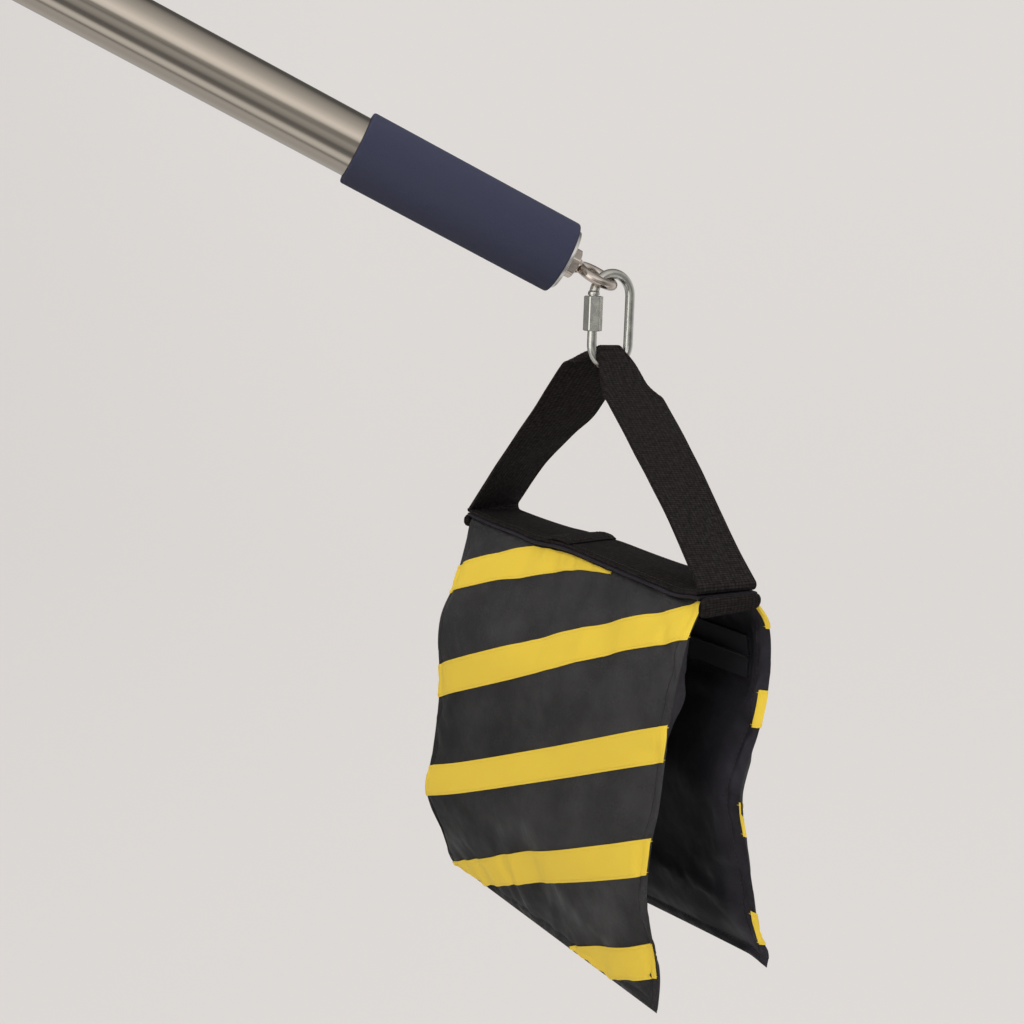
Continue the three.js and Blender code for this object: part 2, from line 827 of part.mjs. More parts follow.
// Across the webbing: flat where it is free, folded up round the wire where it is bunched
function webbingSection(bunching) {
  const inner = [];
  const outer = [];
  for (let j = -sectionSteps; j <= sectionSteps; j += 1) {
    const share = j / sectionSteps;
    const angle = share * apexSpread;
    const flatAcross = share * webbingWidth / 2;
    const across = flatAcross + bunching * (hugRadius * Math.sin(angle) - flatAcross);
    inner.push([across, bunching * hugRadius * (1 - Math.cos(angle))]);
    outer.push([across, webbingThickness + bunching * (apexStack - webbingThickness)]);
  }
  return [...inner, ...outer.reverse()];
}

function handleWebbing() {
  const route = webbingRoute();
  const rings = route.map(([x, z, bunching], k) => {
    const before = route[Math.max(k - 1, 0)];
    const after = route[Math.min(k + 1, route.length - 1)];
    const outward = Math.atan2(after[1] - before[1], after[0] - before[0]) + Math.PI / 2;
    return webbingSection(bunching).map(([across, out]) => [
      x + out * Math.cos(outward),
      across,
      z + out * Math.sin(outward),
    ]);
  });
  return loftedSolid(rings);
}

const liningTop = spineHeight - seatGap;
const liningBottom = liningTop - liningThickness;

function spineLining() {
  const plate = boxBetween(
    [spineMiddle - spineHalf - hemThickness / 2, -liningWidth / 2, liningBottom],
    [spineMiddle + spineHalf + hemThickness / 2, liningWidth / 2, liningTop],
  );
  const hems = [];
  for (const side of [-1, 1]) {
    const centre = spineMiddle + side * (spineHalf + seatGap + hemThickness / 2);
    const top = liningTop - hemThickness / 2;
    const bottom = liningTop - hemHeight + hemThickness / 2;
    for (const height of [top, bottom]) {
      const roll = rodY(hemThickness / 2, -liningWidth / 2, liningWidth / 2);
      roll.translate(centre, 0, height);
      hems.push(roll);
    }
    hems.push(boxBetween(
      [centre - hemThickness / 2, -liningWidth / 2, bottom],
      [centre + hemThickness / 2, liningWidth / 2, top],
    ));
  }
  return joined(plate, ...hems);
}

// How far each pouch's outer face stands from the middle at even steps down its edges
const pouches = {
  front: {
    side: -1,
    drop: frontPouchDrop,
    nearShares: [0.084, 0.118, 0.143, 0.15, 0.166, 0.169, 0.135, 0.112],
    farShares: [0.084, 0.115, 0.155, 0.156, 0.154, 0.168, 0.14, 0.06],
  },
  back: {
    side: 1,
    drop: backPouchDrop,
    nearShares: [0.084, 0.152, 0.155, 0.117, 0.104, 0.145, 0.185, 0.23],
    farShares: [0.084, 0.152, 0.155, 0.145, 0.135, 0.14, 0.145, 0.14],
  },
};
const pouchColumns = 10;
const pouchRows = 22;
const ribbonRows = 2;
const pouchTop = liningBottom - clothGap;

// Smooth reading of evenly spaced shares
function shareAt(shares, place) {
  const spot = place * (shares.length - 1);
  const i = Math.min(Math.floor(spot), shares.length - 2);
  const t = spot - i;
  const at = (k) => shares[Math.min(Math.max(k, 0), shares.length - 1)];
  const slopeHere = (at(i + 1) - at(i - 1)) / 2;
  const slopeNext = (at(i + 2) - at(i)) / 2;
  return (
    at(i) * (2 * t ** 3 - 3 * t ** 2 + 1)
    + slopeHere * (t ** 3 - 2 * t ** 2 + t)
    + at(i + 1) * (3 * t ** 2 - 2 * t ** 3)
    + slopeNext * (t ** 3 - t ** 2)
  );
}

// The pouch's outer face; alongShare runs far to near, dropped runs down from the top
function pouchFace(pouch, alongShare, dropped) {
  const place = dropped / pouch.drop;
  const near = shareAt(pouch.nearShares, place);
  const far = shareAt(pouch.farShares, place);
  const stand = pouchWidth * (far + (near - far) * alongShare);
  return [
    spineMiddle + (alongShare - 1 / 2) * (pouchWidth - 2 * seatGap),
    pouch.side * stand,
    pouchTop - dropped,
  ];
}

function pouchThickness(alongShare, dropShare) {
  const fade = (share) => 1 - Math.abs(2 * share - 1) ** 8;
  return pouchSeamThickness + pouchPuff * fade(alongShare) * fade(dropShare);
}

function pouchBag(pouch) {
  return sheetSolid(pouchColumns, pouchRows, (along, down, layer) => {
    const [x, y, z] = pouchFace(pouch, along, down * pouch.drop);
    return [x, y - pouch.side * layer * pouchThickness(along, down), z];
  });
}

// One ribbon across the outer face, cut off where it runs past the pouch's top or bottom
function ribbon(pouch, index) {
  const farDrop = ribbonFirstDrop + index * ribbonPitch;
  const halfHeight = ribbonWidth / 2 / Math.cos(Math.atan2(ribbonRise, pouchWidth));
  const lowest = pouch.drop - ribbonInset;
  const edges = (along) => {
    const middle = farDrop - ribbonRise * along;
    return [Math.max(middle - halfHeight, ribbonInset), Math.min(middle + halfHeight, lowest)];
  };
  const shown = [];
  const trials = 100;
  for (let i = 0; i <= trials; i += 1) {
    const [top, bottom] = edges(i / trials);
    if (bottom - top > ribbonInset) shown.push(i / trials);
  }
  const [from, to] = [shown[0], shown.at(-1)];
  return sheetSolid(pouchColumns, ribbonRows, (acrossShare, down, layer) => {
    const along = from + acrossShare * (to - from);
    const [top, bottom] = edges(along);
    const [x, y, z] = pouchFace(pouch, along, top + down * (bottom - top));
    return [x, y + pouch.side * (clothGap + layer * ribbonThickness), z];
  });
}

// Depth of the pouch's inner face where the zip lies, at the zip's own drop
function zipFace(pouch, dropped) {
  const [, y, z] = pouchFace(pouch, 1 / 2, dropped);
  return [y - pouch.side * (pouchSeamThickness + pouchPuff + clothGap), z];
}

function zipTape(pouch) {
  const top = zipDrop - zipTapeWidth / 2;
  return sheetSolid(1, 4, (along, down, layer) => {
    const [y, z] = zipFace(pouch, top + down * zipTapeWidth);
    const x = spineMiddle + (along - 1 / 2) * zipTapeLength;
    return [x, y - pouch.side * layer * zipTapeThickness, z];
  });
}

function zipSlider(pouch) {
  const [, z] = zipFace(pouch, zipDrop);
  const reaches = [zipDrop - zipSliderWidth / 2, zipDrop + zipPullLength].map(
    (dropped) => -pouch.side * zipFace(pouch, dropped)[0],
  );
  const face = -pouch.side * (Math.max(...reaches) + zipTapeThickness + seatGap);
  const far = spineMiddle - zipTapeLength / 2 + zipSliderInset;
  const outer = face - pouch.side * zipSliderHeight;
  const pullFace = face - pouch.side * zipSliderHeight / 2;
  const span = (a, b) => [Math.min(a, b), Math.max(a, b)];
  const [bodyMin, bodyMax] = span(face, outer);
  const [pullMin, pullMax] = span(pullFace, outer);
  const body = boxBetween(
    [far, bodyMin, z - zipSliderWidth / 2],
    [far + zipSliderLength, bodyMax, z + zipSliderWidth / 2],
  );
  const pullMiddle = far + zipSliderLength / 2;
  const pull = boxBetween(
    [pullMiddle - zipPullWidth / 2, pullMin, z - zipPullLength],
    [pullMiddle + zipPullWidth / 2, pullMax, z],
  );
  return joined(body, pull);
}

// Assembly
const arm = new THREE.Group();
const tiltAxis = new THREE.Group();
tiltAxis.position.set(0, 0, tiltAxisHeight);
const clampFrame = new THREE.Group();
clampFrame.rotation.y = boomFall;
const boomFrame = new THREE.Group();
boomFrame.position.set(0, 0, lugDrop);
const eyeFrame = new THREE.Group();
eyeFrame.rotation.x = eyeRoll;
const linkFrame = new THREE.Group();
const bagFrame = new THREE.Group();
bagFrame.position.set(0, 0, linkBottom);
bagFrame.rotation.y = bagLean;

arm.add(
  piece('stand_receiver', standReceiver(), 'casting'),
  piece('receiver_knob', receiverKnob(), 'plastic'),
  tiltAxis,
  linkFrame,
);
tiltAxis.add(
  piece('tilt_bolt', tiltBolt(), 'zinc'),
  piece('friction_disc_near', frictionDisc(-1), 'plastic'),
  piece('friction_disc_far', frictionDisc(1), 'plastic'),
  piece('tilt_washer', tiltWasher(), 'zinc'),
  piece('tilt_lever', tiltLever(), 'plastic'),
  clampFrame,
);
clampFrame.add(
  piece('clamp_body', clampBody(), 'casting'),
  piece('clamp_liner', clampLiner(), 'plastic'),
  piece('clamp_knob', clampKnob(), 'plastic'),
  piece('clamp_nut', clampNut(), 'zinc'),
  boomFrame,
);
boomFrame.add(
  piece('rear_tube', tube(rearTubeRadius, rearTubeFrom, buttReach), 'stainless'),
  piece('front_tube', tube(frontTubeRadius, frontTubeFrom, frontTubeTo), 'stainless'),
  piece('foam_grip', foamGrip(), 'foam'),
  piece('lock_collar', lockCollar(), 'casting'),
  piece('collar_knob', collarKnob(), 'plastic'),
  piece('collar_bush', collarBush(), 'plastic'),
  piece('tail_bush', tailBush(), 'plastic'),
  piece('front_plug', frontPlug(), 'plastic'),
  piece('front_spigot', frontSpigot(), 'zinc'),
  piece('end_plug', endPlug(), 'stainless'),
  piece('lock_nut', nutOnBoom(eyeNutFlats, lockNutTo - lockNutThickness, lockNutTo), 'zinc'),
  eyeFrame,
);
eyeFrame.add(
  piece('eye_nut', nutOnBoom(eyeNutFlats, eyeNutFrom, eyeNutFrom + eyeNutThickness), 'zinc'),
  piece('eye_bolt', eyeBolt(), 'zinc'),
);
linkFrame.add(
  piece('link_wire', linkWire(), 'zinc'),
  piece('link_sleeve', linkSleeve(), 'zinc'),
  bagFrame,
);
bagFrame.add(
  piece('handle_webbing', handleWebbing(), 'webbing'),
  piece('spine_lining', spineLining(), 'nylon'),
);
for (const [name, pouch] of Object.entries(pouches)) {
  bagFrame.add(
    piece(`${name}_pouch`, pouchBag(pouch), 'nylon'),
    piece(`${name}_zip_tape`, zipTape(pouch), 'webbing'),
    piece(`${name}_zip_slider`, zipSlider(pouch), 'zinc'),
  );
  for (let index = 0; index < ribbonCount; index += 1) {
    bagFrame.add(piece(`${name}_ribbon_${index + 1}`, ribbon(pouch, index), 'ribbon'));
  }
}

// The link hangs plumb from the end of the eye, turned as the sandbag hangs
arm.updateMatrixWorld(true);
const eyeEnd = new THREE.Vector3(eyeRingCentre + eyeRingRadius, 0, 0);
linkFrame.position.copy(boomFrame.localToWorld(eyeEnd));
linkFrame.rotation.z = linkTurn;

export default arm;
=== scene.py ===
import json
import math
from dataclasses import dataclass

import bmesh
import bpy
from mathutils import Matrix, Vector, noise


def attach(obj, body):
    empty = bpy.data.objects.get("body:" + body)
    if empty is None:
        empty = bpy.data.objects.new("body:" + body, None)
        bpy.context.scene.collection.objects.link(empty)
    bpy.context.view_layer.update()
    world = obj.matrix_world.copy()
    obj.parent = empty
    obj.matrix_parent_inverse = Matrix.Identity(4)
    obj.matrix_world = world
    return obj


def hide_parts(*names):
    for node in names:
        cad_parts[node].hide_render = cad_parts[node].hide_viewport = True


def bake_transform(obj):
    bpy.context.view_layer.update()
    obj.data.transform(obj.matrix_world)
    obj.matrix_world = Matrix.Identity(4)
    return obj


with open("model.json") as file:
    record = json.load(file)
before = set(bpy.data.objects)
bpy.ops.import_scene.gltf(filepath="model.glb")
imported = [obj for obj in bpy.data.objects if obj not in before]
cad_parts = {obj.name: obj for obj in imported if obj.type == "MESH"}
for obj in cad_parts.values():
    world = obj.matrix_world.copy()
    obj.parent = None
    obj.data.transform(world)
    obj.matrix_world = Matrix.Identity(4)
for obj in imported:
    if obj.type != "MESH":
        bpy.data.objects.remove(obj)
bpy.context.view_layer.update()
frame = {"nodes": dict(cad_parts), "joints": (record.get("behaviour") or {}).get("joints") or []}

bl_info = {
    "name": "Overhead Boom Arm",
    "version": (1, 0, 0),
    "blender": (4, 5, 0),
    "location": "View3D > Sidebar > Boom Arm",
    "description": "Dresses a boom arm with its foam grip, quick link and saddle sandbag",
    "category": "Object",
}

# Shared lengths, in metres, and counts
MM = 0.001
SEAT_GAP = 0.3 * MM
AXIS_RADIUS = 0.01 * MM
ROUND_COLUMNS = 96
FINE_COLUMNS = 160
SMALL_COLUMNS = 40
SMOOTH_ANGLE = math.radians(32)
CLOTH_ANGLE = math.radians(50)

# Stand head and tilt joint
SPIGOT_RADIUS = 8 * MM
RECEIVER_KNOB_HEIGHT = 24 * MM
LUG_HALF_WIDTH = 11 * MM
LUG_RADIUS = 16 * MM
DISC_THICKNESS = 1.5 * MM
FORK_EAR = 8 * MM
FORK_OUTER = LUG_HALF_WIDTH + 2 * SEAT_GAP + DISC_THICKNESS + FORK_EAR
TILT_BOLT_RADIUS = 5 * MM
BOLT_FLATS = 17 * MM
BOLT_HEAD = 6.4 * MM
WASHER_THICKNESS = 2 * MM
WASHER_RADIUS = 11 * MM
LEVER_HUB_RADIUS = 11 * MM
LEVER_HUB_LENGTH = 18 * MM
LEVER_ARM_LENGTH = 74 * MM
LEVER_ARM_RADIUS = 4.5 * MM
LEVER_TIP_RADIUS = 7 * MM
LEVER_RAKE = math.radians(18)
LEVER_TURN = math.radians(35)
THREAD_STAND = 3 * MM

# Clamp
LUG_DROP = 48 * MM
CLAMP_SCREW_HEIGHT = LUG_DROP + 28.1 * MM + 11 * MM
CLAMP_EAR_FACE = 9.5 * MM
CLAMP_NUT_FLATS = 13 * MM
CLAMP_NUT_THICKNESS = 6.5 * MM
CLAMP_HUB_LENGTH = 31 * MM

# Handles with a cross bar
STUD_RADIUS = 4 * MM
STUD_LENGTH = 16 * MM
THREAD_PITCH = 1.25 * MM
THREAD_DEPTH = 0.35 * MM
HUB_RADIUS = 8 * MM
HUB_LENGTH = 16 * MM
BAR_RADIUS = 4.5 * MM
BAR_WAIST_RADIUS = 3.7 * MM
BAR_HALF_LENGTH = 26 * MM
BAR_INSET = 6 * MM
HUB_RIBS = 14

# Lock collar and front end
COLLAR_LENGTH = 30 * MM
COLLAR_RADIUS = 26 * MM
COLLAR_RIBS = 30
FRONT_PLUG_FLANGE = 4 * MM
FRONT_PLUG_LENGTH = 30 * MM
FRONT_SPIGOT_LENGTH = 45 * MM
SPIGOT_GROOVE_RADIUS = 6.5 * MM
SPIGOT_GROOVE_WIDTH = 10 * MM
SPIGOT_TIP_RADIUS = 5 * MM
SPIGOT_TIP_LENGTH = 12 * MM
SPIGOT_ROOT_LENGTH = 24 * MM

# Butt end
FOAM_WOBBLE = 0.25 * MM
FOAM_WOBBLES = 28
PLUG_FLANGE = 2.2 * MM
PLUG_LENGTH = 30 * MM
PLUG_PLAY = 0.15 * MM
EYE_SHANK_RADIUS = 5 * MM
EYE_NUT_FLATS = 17 * MM
EYE_NUT_THICKNESS = 6.4 * MM
LOCK_NUT_THICKNESS = 8 * MM
EYE_SHANK_TAIL = 3 * MM
EYE_ROLL = math.radians(16)

# Quick link
LINK_PLAY = 0.6 * MM
LINK_GAP = 6 * MM
LINK_GAP_BELOW_BEND = 1.6 * MM
SLEEVE_FLATS = 10.6 * MM
SLEEVE_LENGTH = 21.5 * MM
SLEEVE_PLAY = 0.3 * MM

# Sandbag
BAG_OFFSET = 10 * MM
SPINE_HEIGHT = -113 * MM
SPINE_SHIFT = -4.4 * MM
LEG_CREST = Vector((4 * MM, 4 * MM))
CREST_HEIGHT = 8.2 * MM
CREST_RADIUS = 4 * MM
CREST_HALF_WIDTH = 10 * MM
FOLD_RADIUS = 2.4 * MM
EDGE_FOLD_RADIUS = 2 * MM
OVERLAP_END = -8.5 * MM
OVERLAP_SLANT = 0.21
OVERLAP_BULGE = 0.9 * MM
OVERLAP_BULGE_LENGTH = 24 * MM
OVERLAP_FADE = 5 * MM
OVERLAP_HIDDEN = 30 * MM
OVERLAP_TAPER = 14 * MM
LINING_THICKNESS = 1.6 * MM
LINING_WIDTH = 44 * MM
RIM_RADIUS = 1.1 * MM
HEM_HEIGHT = 9 * MM
HEM_THICKNESS = 4.6 * MM
CLOTH_GAP = 0.6 * MM
RIBBON_THICKNESS = 0.7 * MM
RIBBON_LIFT = 0.25 * MM
RIBBON_COUNT = 5
RIBBON_FIRST_DROP = 45 * MM
RIBBON_PITCH = 69.5 * MM
RIBBON_RISE = 102 * MM
ZIP_DROP = 44 * MM
ZIP_TAPE_WIDTH = 26 * MM
ZIP_TAPE_LENGTH = 214 * MM
SEAM_INSET = 5.5 * MM
SPINE_SEAM = 17.6 * MM

# The handle's legs from the spine up, in millimetres: share of the leg, sideways shift, half
# width, how far it stands out, and its twist
LEGS = {
    1: (
        (0.0, -4.6, 20.5, 0.0, 0.0), (0.14, -3.5, 20.5, 0.3, 0.06), (0.29, -1.8, 20.5, 0.7, 0.07),
        (0.43, -1.0, 21.0, 1.0, 0.03), (0.58, -0.2, 21.0, 1.0, 0.0), (0.73, -0.6, 21.0, 1.4, 0.0),
        (0.77, -0.9, 20.7, 1.7, 0.0), (0.805, -1.6, 19.5, 2.1, 0.0), (0.845, -2.7, 17.5, 2.6, 0.0),
        (0.885, -1.9, 16.0, 3.0, 0.0), (0.93, -0.7, 14.2, 3.4, 0.0), (0.97, -0.4, 12.1, 3.7, 0.0),
        (1.0, -1.2, 10.0, 4.5, 0.0),
    ),
    -1: (
        (0.0, -4.4, 20.5, 3.2, -0.11), (0.26, -4.0, 20.5, 4.6, -0.09), (0.5, -2.5, 21.0, 3.2, 0.06),
        (0.64, -1.0, 21.0, 2.3, 0.2), (0.745, -0.5, 21.0, 3.3, 0.22), (0.86, 0.2, 20.6, 4.4, 0.22),
        (0.92, 0.6, 18.5, 4.4, 0.2), (0.965, 0.5, 14.6, 4.2, 0.15), (1.0, -0.3, 10.6, 4.05, 0.03),
    ),
}

# How much lower the spine lies than its height, in millimetres: place along it, and how much
# lower its middle, its front edge and its back edge lie there
SPINE_SINKS = (
    (-118, 0.0, -1.5, 1.0), (-85, 0.3, 0.5, 1.9), (-55, 0.3, 1.1, 1.9), (-35, 0.2, 2.1, 1.0),
    (-10, 0.0, 0.3, 0.6), (5, 0.0, -0.2, 0.4), (35, 0.3, 1.2, 1.4), (65, 0.8, 2.6, 2.0),
    (95, 1.2, 3.8, 1.6), (110, 1.5, 4.5, 1.7), (120, 1.7, 3.8, 1.7), (128, 1.8, 2.3, 1.8),
    (137, 1.8, 1.8, 1.8),
)

# How far each pouch's outer face stands from the bag's middle at its near and far edges, and
# where its inner face holds the zip: depth below the spine and distance, in millimetres
POUCHES = {
    "front": {
        "side": -1,
        "near": (
            (0, 21.5), (4.6, 22.7), (24.7, 32), (45.8, 36.7), (69.9, 40.6), (95, 42), (124.5, 44),
            (138.4, 46.6), (161.6, 48.1), (178, 47.4), (192.6, 43.9), (225.2, 35.2), (250, 34),
        ),
        "far": (
            (0, 23.5), (3, 24.9), (32.4, 31.9), (50.8, 37.9), (66.4, 43.3), (82.4, 44.7),
            (99.4, 43.7), (123.5, 43.1), (145.4, 44.3), (172.3, 46.7), (192.4, 47.2),
            (224.2, 34.1), (241.5, 26.6), (250, 20.4),
        ),
        "zip": ((31, 20.0), (44, 23.2), (57, 26.5)),
        "lift": ((0, 0), (1, 0)),
        "roll": (4, ((0, 0), (24, 2), (47, 5.5), (61, 8), (76, 3), (95, 0.5), (250, 0))),
        "hem": 0.0,
        "creases": (
            (5, 1.7, (0.6, 0.125), (0.637, 0.081), (0.706, 0.02)),
            (5, 1.6, (0.53, 0.315), (0.545, 0.37), (0.613, 0.45)),
            (4, 1.6, (0.78, 0.175), (0.86, 0.185), (0.9, 0.212), (0.89, 0.25)),
            (5, 1.9, (0.985, 0.12), (0.94, 0.185), (0.93, 0.24), (0.945, 0.29)),
            (6, -1.2, (0.83, 0.23), (0.87, 0.28)),
            (6, 1.2, (0.03, 0.235), (0.119, 0.25), (0.14, 0.3), (0.185, 0.33)),
            (5, -1.3, (0.0, 0.5), (0.03, 0.545), (0.09, 0.56)),
            (9, -1.5, (0.56, 0.575), (0.66, 0.55), (0.75, 0.53), (0.83, 0.56)),
            (11, 1.4, (0.28, 0.73), (0.42, 0.69), (0.54, 0.665), (0.7, 0.655)),
            (7, -1.4, (0.3, 0.215), (0.42, 0.2), (0.55, 0.17)),
            (10, 1.0, (0.37, 0.66), (0.3, 0.76), (0.24, 0.84)),
            (7, 1.2, (0.9, 0.46), (0.86, 0.52), (0.88, 0.6)),
            (12, 1.2, (0.25, 0.43), (0.4, 0.41)),
            (9, -1.2, (0.3, 0.5), (0.42, 0.47)),
            (6, 0.9, (0.6, 0.8), (0.72, 0.86), (0.86, 0.88)),
        ),
        "folds": ((7, 1.4, (0.5, 0.32), (0.8, 0.31), (0.98, 0.33)),),
    },
    "back": {
        "side": 1,
        "near": (
            (0, 15.4), (7.3, 19.8), (18.8, 29.3), (34.7, 33.4), (60.7, 33.9), (82.2, 30.1),
            (105.1, 22.5), (124.3, 19.2), (146.8, 24.6), (184.3, 35.5), (198.2, 38.5),
            (219.7, 47.5), (228.7, 52.5), (236, 52),
        ),
        "far": (
            (0, 16), (10, 24), (30, 35), (44, 37.5), (65, 37), (100, 33), (140, 30), (180, 29),
            (210, 27), (236, 24),
        ),
        "zip": ((31, 29.0), (44, 31.6), (57, 31.6)),
        "lift": ((0, 4.2), (0.93, 4.2), (1, 1)),
        "roll": (18, ((0, 0), (20, 3), (50, 5), (100, 5), (180, 4), (238, 0))),
        "hem": 5.0,
        "creases": (
            (8, 1.4, (0.2, 0.3), (0.35, 0.36), (0.5, 0.34)), (7, -1.3, (0.55, 0.5), (0.7, 0.56)),
            (6, 1.4, (0.85, 0.1), (0.8, 0.2), (0.86, 0.28)), (10, 1.2, (0.3, 0.7), (0.5, 0.64)),
            (9, -1.2, (0.6, 0.72), (0.75, 0.8)), (6, 1.3, (0.1, 0.5), (0.16, 0.6)),
        ),
        "folds": (
            (4.5, 1.9, (0.35, 0.35), (0.75, 0.338), (0.82, 0.331), (0.92, 0.331), (0.99, 0.345)),
            (6, 1.0, (0.5, 0.47), (0.7, 0.45), (0.98, 0.43)),
            (4, 1.0, (0.93, 0.4), (0.985, 0.38)), (4, 1.0, (0.94, 0.75), (0.985, 0.735)),
            (4, 1.0, (0.94, 0.155), (0.985, 0.15)),
        ),
    },
}

# How the ribbons' upper and lower edges lie off their even slope, in millimetres: share along
# the pouch, upper edge and lower edge
RIBBON_BENDS = {
    ("front", 0): (
        (0, -0.4, -4.4), (0.12, 0, -3.1), (0.25, 0, -1.9), (0.37, 0, 1.0), (0.44, 0, 2.5),
        (0.5, 0, 4.6), (0.56, 0, 7.4), (0.6, 0, 9.9), (0.7, 0, 16),
    ),
    ("front", 1): ((0, -1.8, -1.5), (0.4, -0.8, 0), (0.75, -1.2, -2), (1, -1.2, -0.8)),
    ("front", 2): ((0, 0, -1), (0.2, 2.3, 1.2), (0.6, 3, 1.8), (1, 2, 1.4)),
    ("front", 3): ((0, 4, 2.2), (0.3, 2, 1), (0.6, 0.8, 0), (1, -1.2, -1.8)),
    ("front", 4): ((0, 0, 0), (0.55, -1, 0), (0.7, -3.3, -1.5), (0.85, -4.2, -5), (1, -5, -5.5)),
    ("back", 0): ((0, 0, 0), (1, 0, 0)),
    ("back", 1): ((0, 0, 0), (0.6, -0.5, -0.5), (1, -2.2, -3)),
    ("back", 2): ((0, 0, 0), (0.5, -2, -2), (1, -10, -10.5)),
    ("back", 3): ((0, 0, 0), (0.5, -2.5, -2.5), (1, -12.5, -13)),
    ("back", 4): ((0, 0, 0), (0.5, -2, -2), (1, -9, -9.5)),
}

# How far the ribbons wrap round the near seam onto the inner cloth, in millimetres
RIBBON_WRAPS = {("back", 1): 0.8, ("back", 2): 2.2, ("back", 3): 0.1, ("back", 4): 1}

# The photograph's view: the pixel of the boom's butt end and how far away it is
PICTURE_SIZE = 1024
FOCAL_PIXELS = 1770
BUTT_PIXEL = (563, 258)
BUTT_DISTANCE = 1.085
VIEW_YAW = math.radians(10)
VIEW_PITCH = math.radians(8)
VIEW_ROLL = math.radians(2)
SENSOR_WIDTH = 36.0


def linear(red, green, blue):
    """A colour given in screen values of 0 to 255, as the linear values that a shader takes."""
    shares = (value / 255 for value in (red, green, blue))
    return tuple(s / 12.92 if s <= 0.04045 else ((s + 0.055) / 1.055) ** 2.4 for s in shares)


def size_property(name, description, default):
    return bpy.props.FloatProperty(
        name=name, description=description, default=default, min=0, unit="LENGTH", precision=4,
    )


def colour_property(name, description, *screen):
    return bpy.props.FloatVectorProperty(
        name=name, description=description, default=linear(*screen), min=0, max=1,
        size=3, subtype="COLOR",
    )


class BoomSizes(bpy.types.PropertyGroup):
    """Sizes of the boom, its grip, its eye and the quick link."""

    tube_diameter: size_property("Tube", "Outer diameter of the rear tube", 38 * MM)
    front_diameter: size_property("Front Tube", "Outer diameter of the front tube", 32 * MM)
    tube_wall: size_property("Wall", "Wall of both tubes", 1.5 * MM)
    tube_length: size_property("Length", "Length of the rear tube", 1200 * MM)
    front_length: size_property("Front Length", "Length of the front tube", 1000 * MM)
    front_reach: size_property("Reach", "How far the front tube stands out", 180 * MM)
    butt_reach: size_property("Butt Reach", "From the clamp to the butt end", 480 * MM)
    foam_wall: size_property("Foam Wall", "Thickness of the foam sleeve", 3.7 * MM)
    foam_length: size_property("Foam Length", "Length of the foam sleeve", 141.5 * MM)
    foam_rounding: size_property("Foam Edge", "Rounding of the sleeve's ends", 3 * MM)
    eye_wire: size_property("Eye Wire", "Thickness of the eye's ring", 6.2 * MM)
    eye_radius: size_property("Eye Radius", "Radius of the ring's middle line", 11.3 * MM)
    link_wire: size_property("Link Wire", "Thickness of the quick link", 6 * MM)
    link_length: size_property("Link Length", "Length over the quick link", 63 * MM)
    link_width: size_property("Link Width", "Width over the quick link", 33.7 * MM)


class BagSizes(bpy.types.PropertyGroup):
    """Sizes of the saddle sandbag."""

    pouch_width: size_property("Width", "Width of each pouch", 250 * MM)
    front_drop: size_property("Front Drop", "Height of the front pouch", 249 * MM)
    back_drop: size_property("Back Drop", "Height of the back pouch", 238 * MM)
    webbing_width: size_property("Webbing", "Width of the webbing", 42 * MM)
    webbing_thickness: size_property("Webbing Thickness", "Thickness of the webbing", 2 * MM)
    ribbon_width: size_property("Ribbon", "Width of the yellow ribbons", 21 * MM)
    seam_thickness: size_property("Seam", "Thickness of a pouch at its seams", 3 * MM)
    puff: size_property("Puff", "How much thicker a pouch is in the middle", 5 * MM)
    stitch_pitch: size_property("Stitch Pitch", "From one stitch to the next", 3.2 * MM)


class FinishColours(bpy.types.PropertyGroup):
    """Colours of the finishes."""

    stainless: colour_property("Stainless", "Drawn stainless tube", 186, 178, 168)
    aluminium: colour_property("Aluminium", "Turned end plug", 218, 216, 211)
    zinc: colour_property("Zinc", "Bright zinc plate", 210, 210, 204)
    nickel: colour_property("Nickel", "Eye and nut", 208, 197, 189)
    coat: colour_property("Powder Coat", "Castings", 44, 45, 47)
    plastic: colour_property("Plastic", "Handles and bushes", 30, 31, 33)
    foam: colour_property("Foam", "Grip sleeve", 51, 54, 73)
    webbing: colour_property("Webbing", "Handle and spine", 34, 31, 31)
    nylon: colour_property("Nylon", "Outer cloth of the pouches", 51, 51, 52)
    # The lining is the outer nylon set darker: partly the inner cloth's own colour, partly painted
    # shade on the pouches' inner faces.
    lining: colour_property("Lining", "Inner cloth of the pouches", 38, 37, 42)
    ribbon: colour_property("Ribbon", "Diagonal ribbons", 230, 202, 70)
    backdrop: colour_property("Backdrop", "Floor and background", 224, 220, 217)


def boom():
    return bpy.context.scene.boom_arm_boom


def bag():
    return bpy.context.scene.boom_arm_bag


def colours():
    return bpy.context.scene.boom_arm_colours


# Frames of axes, taken from the joints


def joint(name):
    return next(entry for entry in frame["joints"] if entry["name"] == name)


def axes(origin, x_axis, y_axis):
    """A frame of axes at a point; z follows from x and y."""
    x = Vector(x_axis).normalized()
    y = Vector(y_axis).normalized()
    turned_axes = Matrix((x, y, x.cross(y))).transposed().to_4x4()
    turned_axes.translation = Vector(origin)
    return turned_axes


def moved(space, *offset):
    return space @ Matrix.Translation(Vector(offset))


def turned_about(space, axis, angle):
    return space @ Matrix.Rotation(angle, 4, axis)


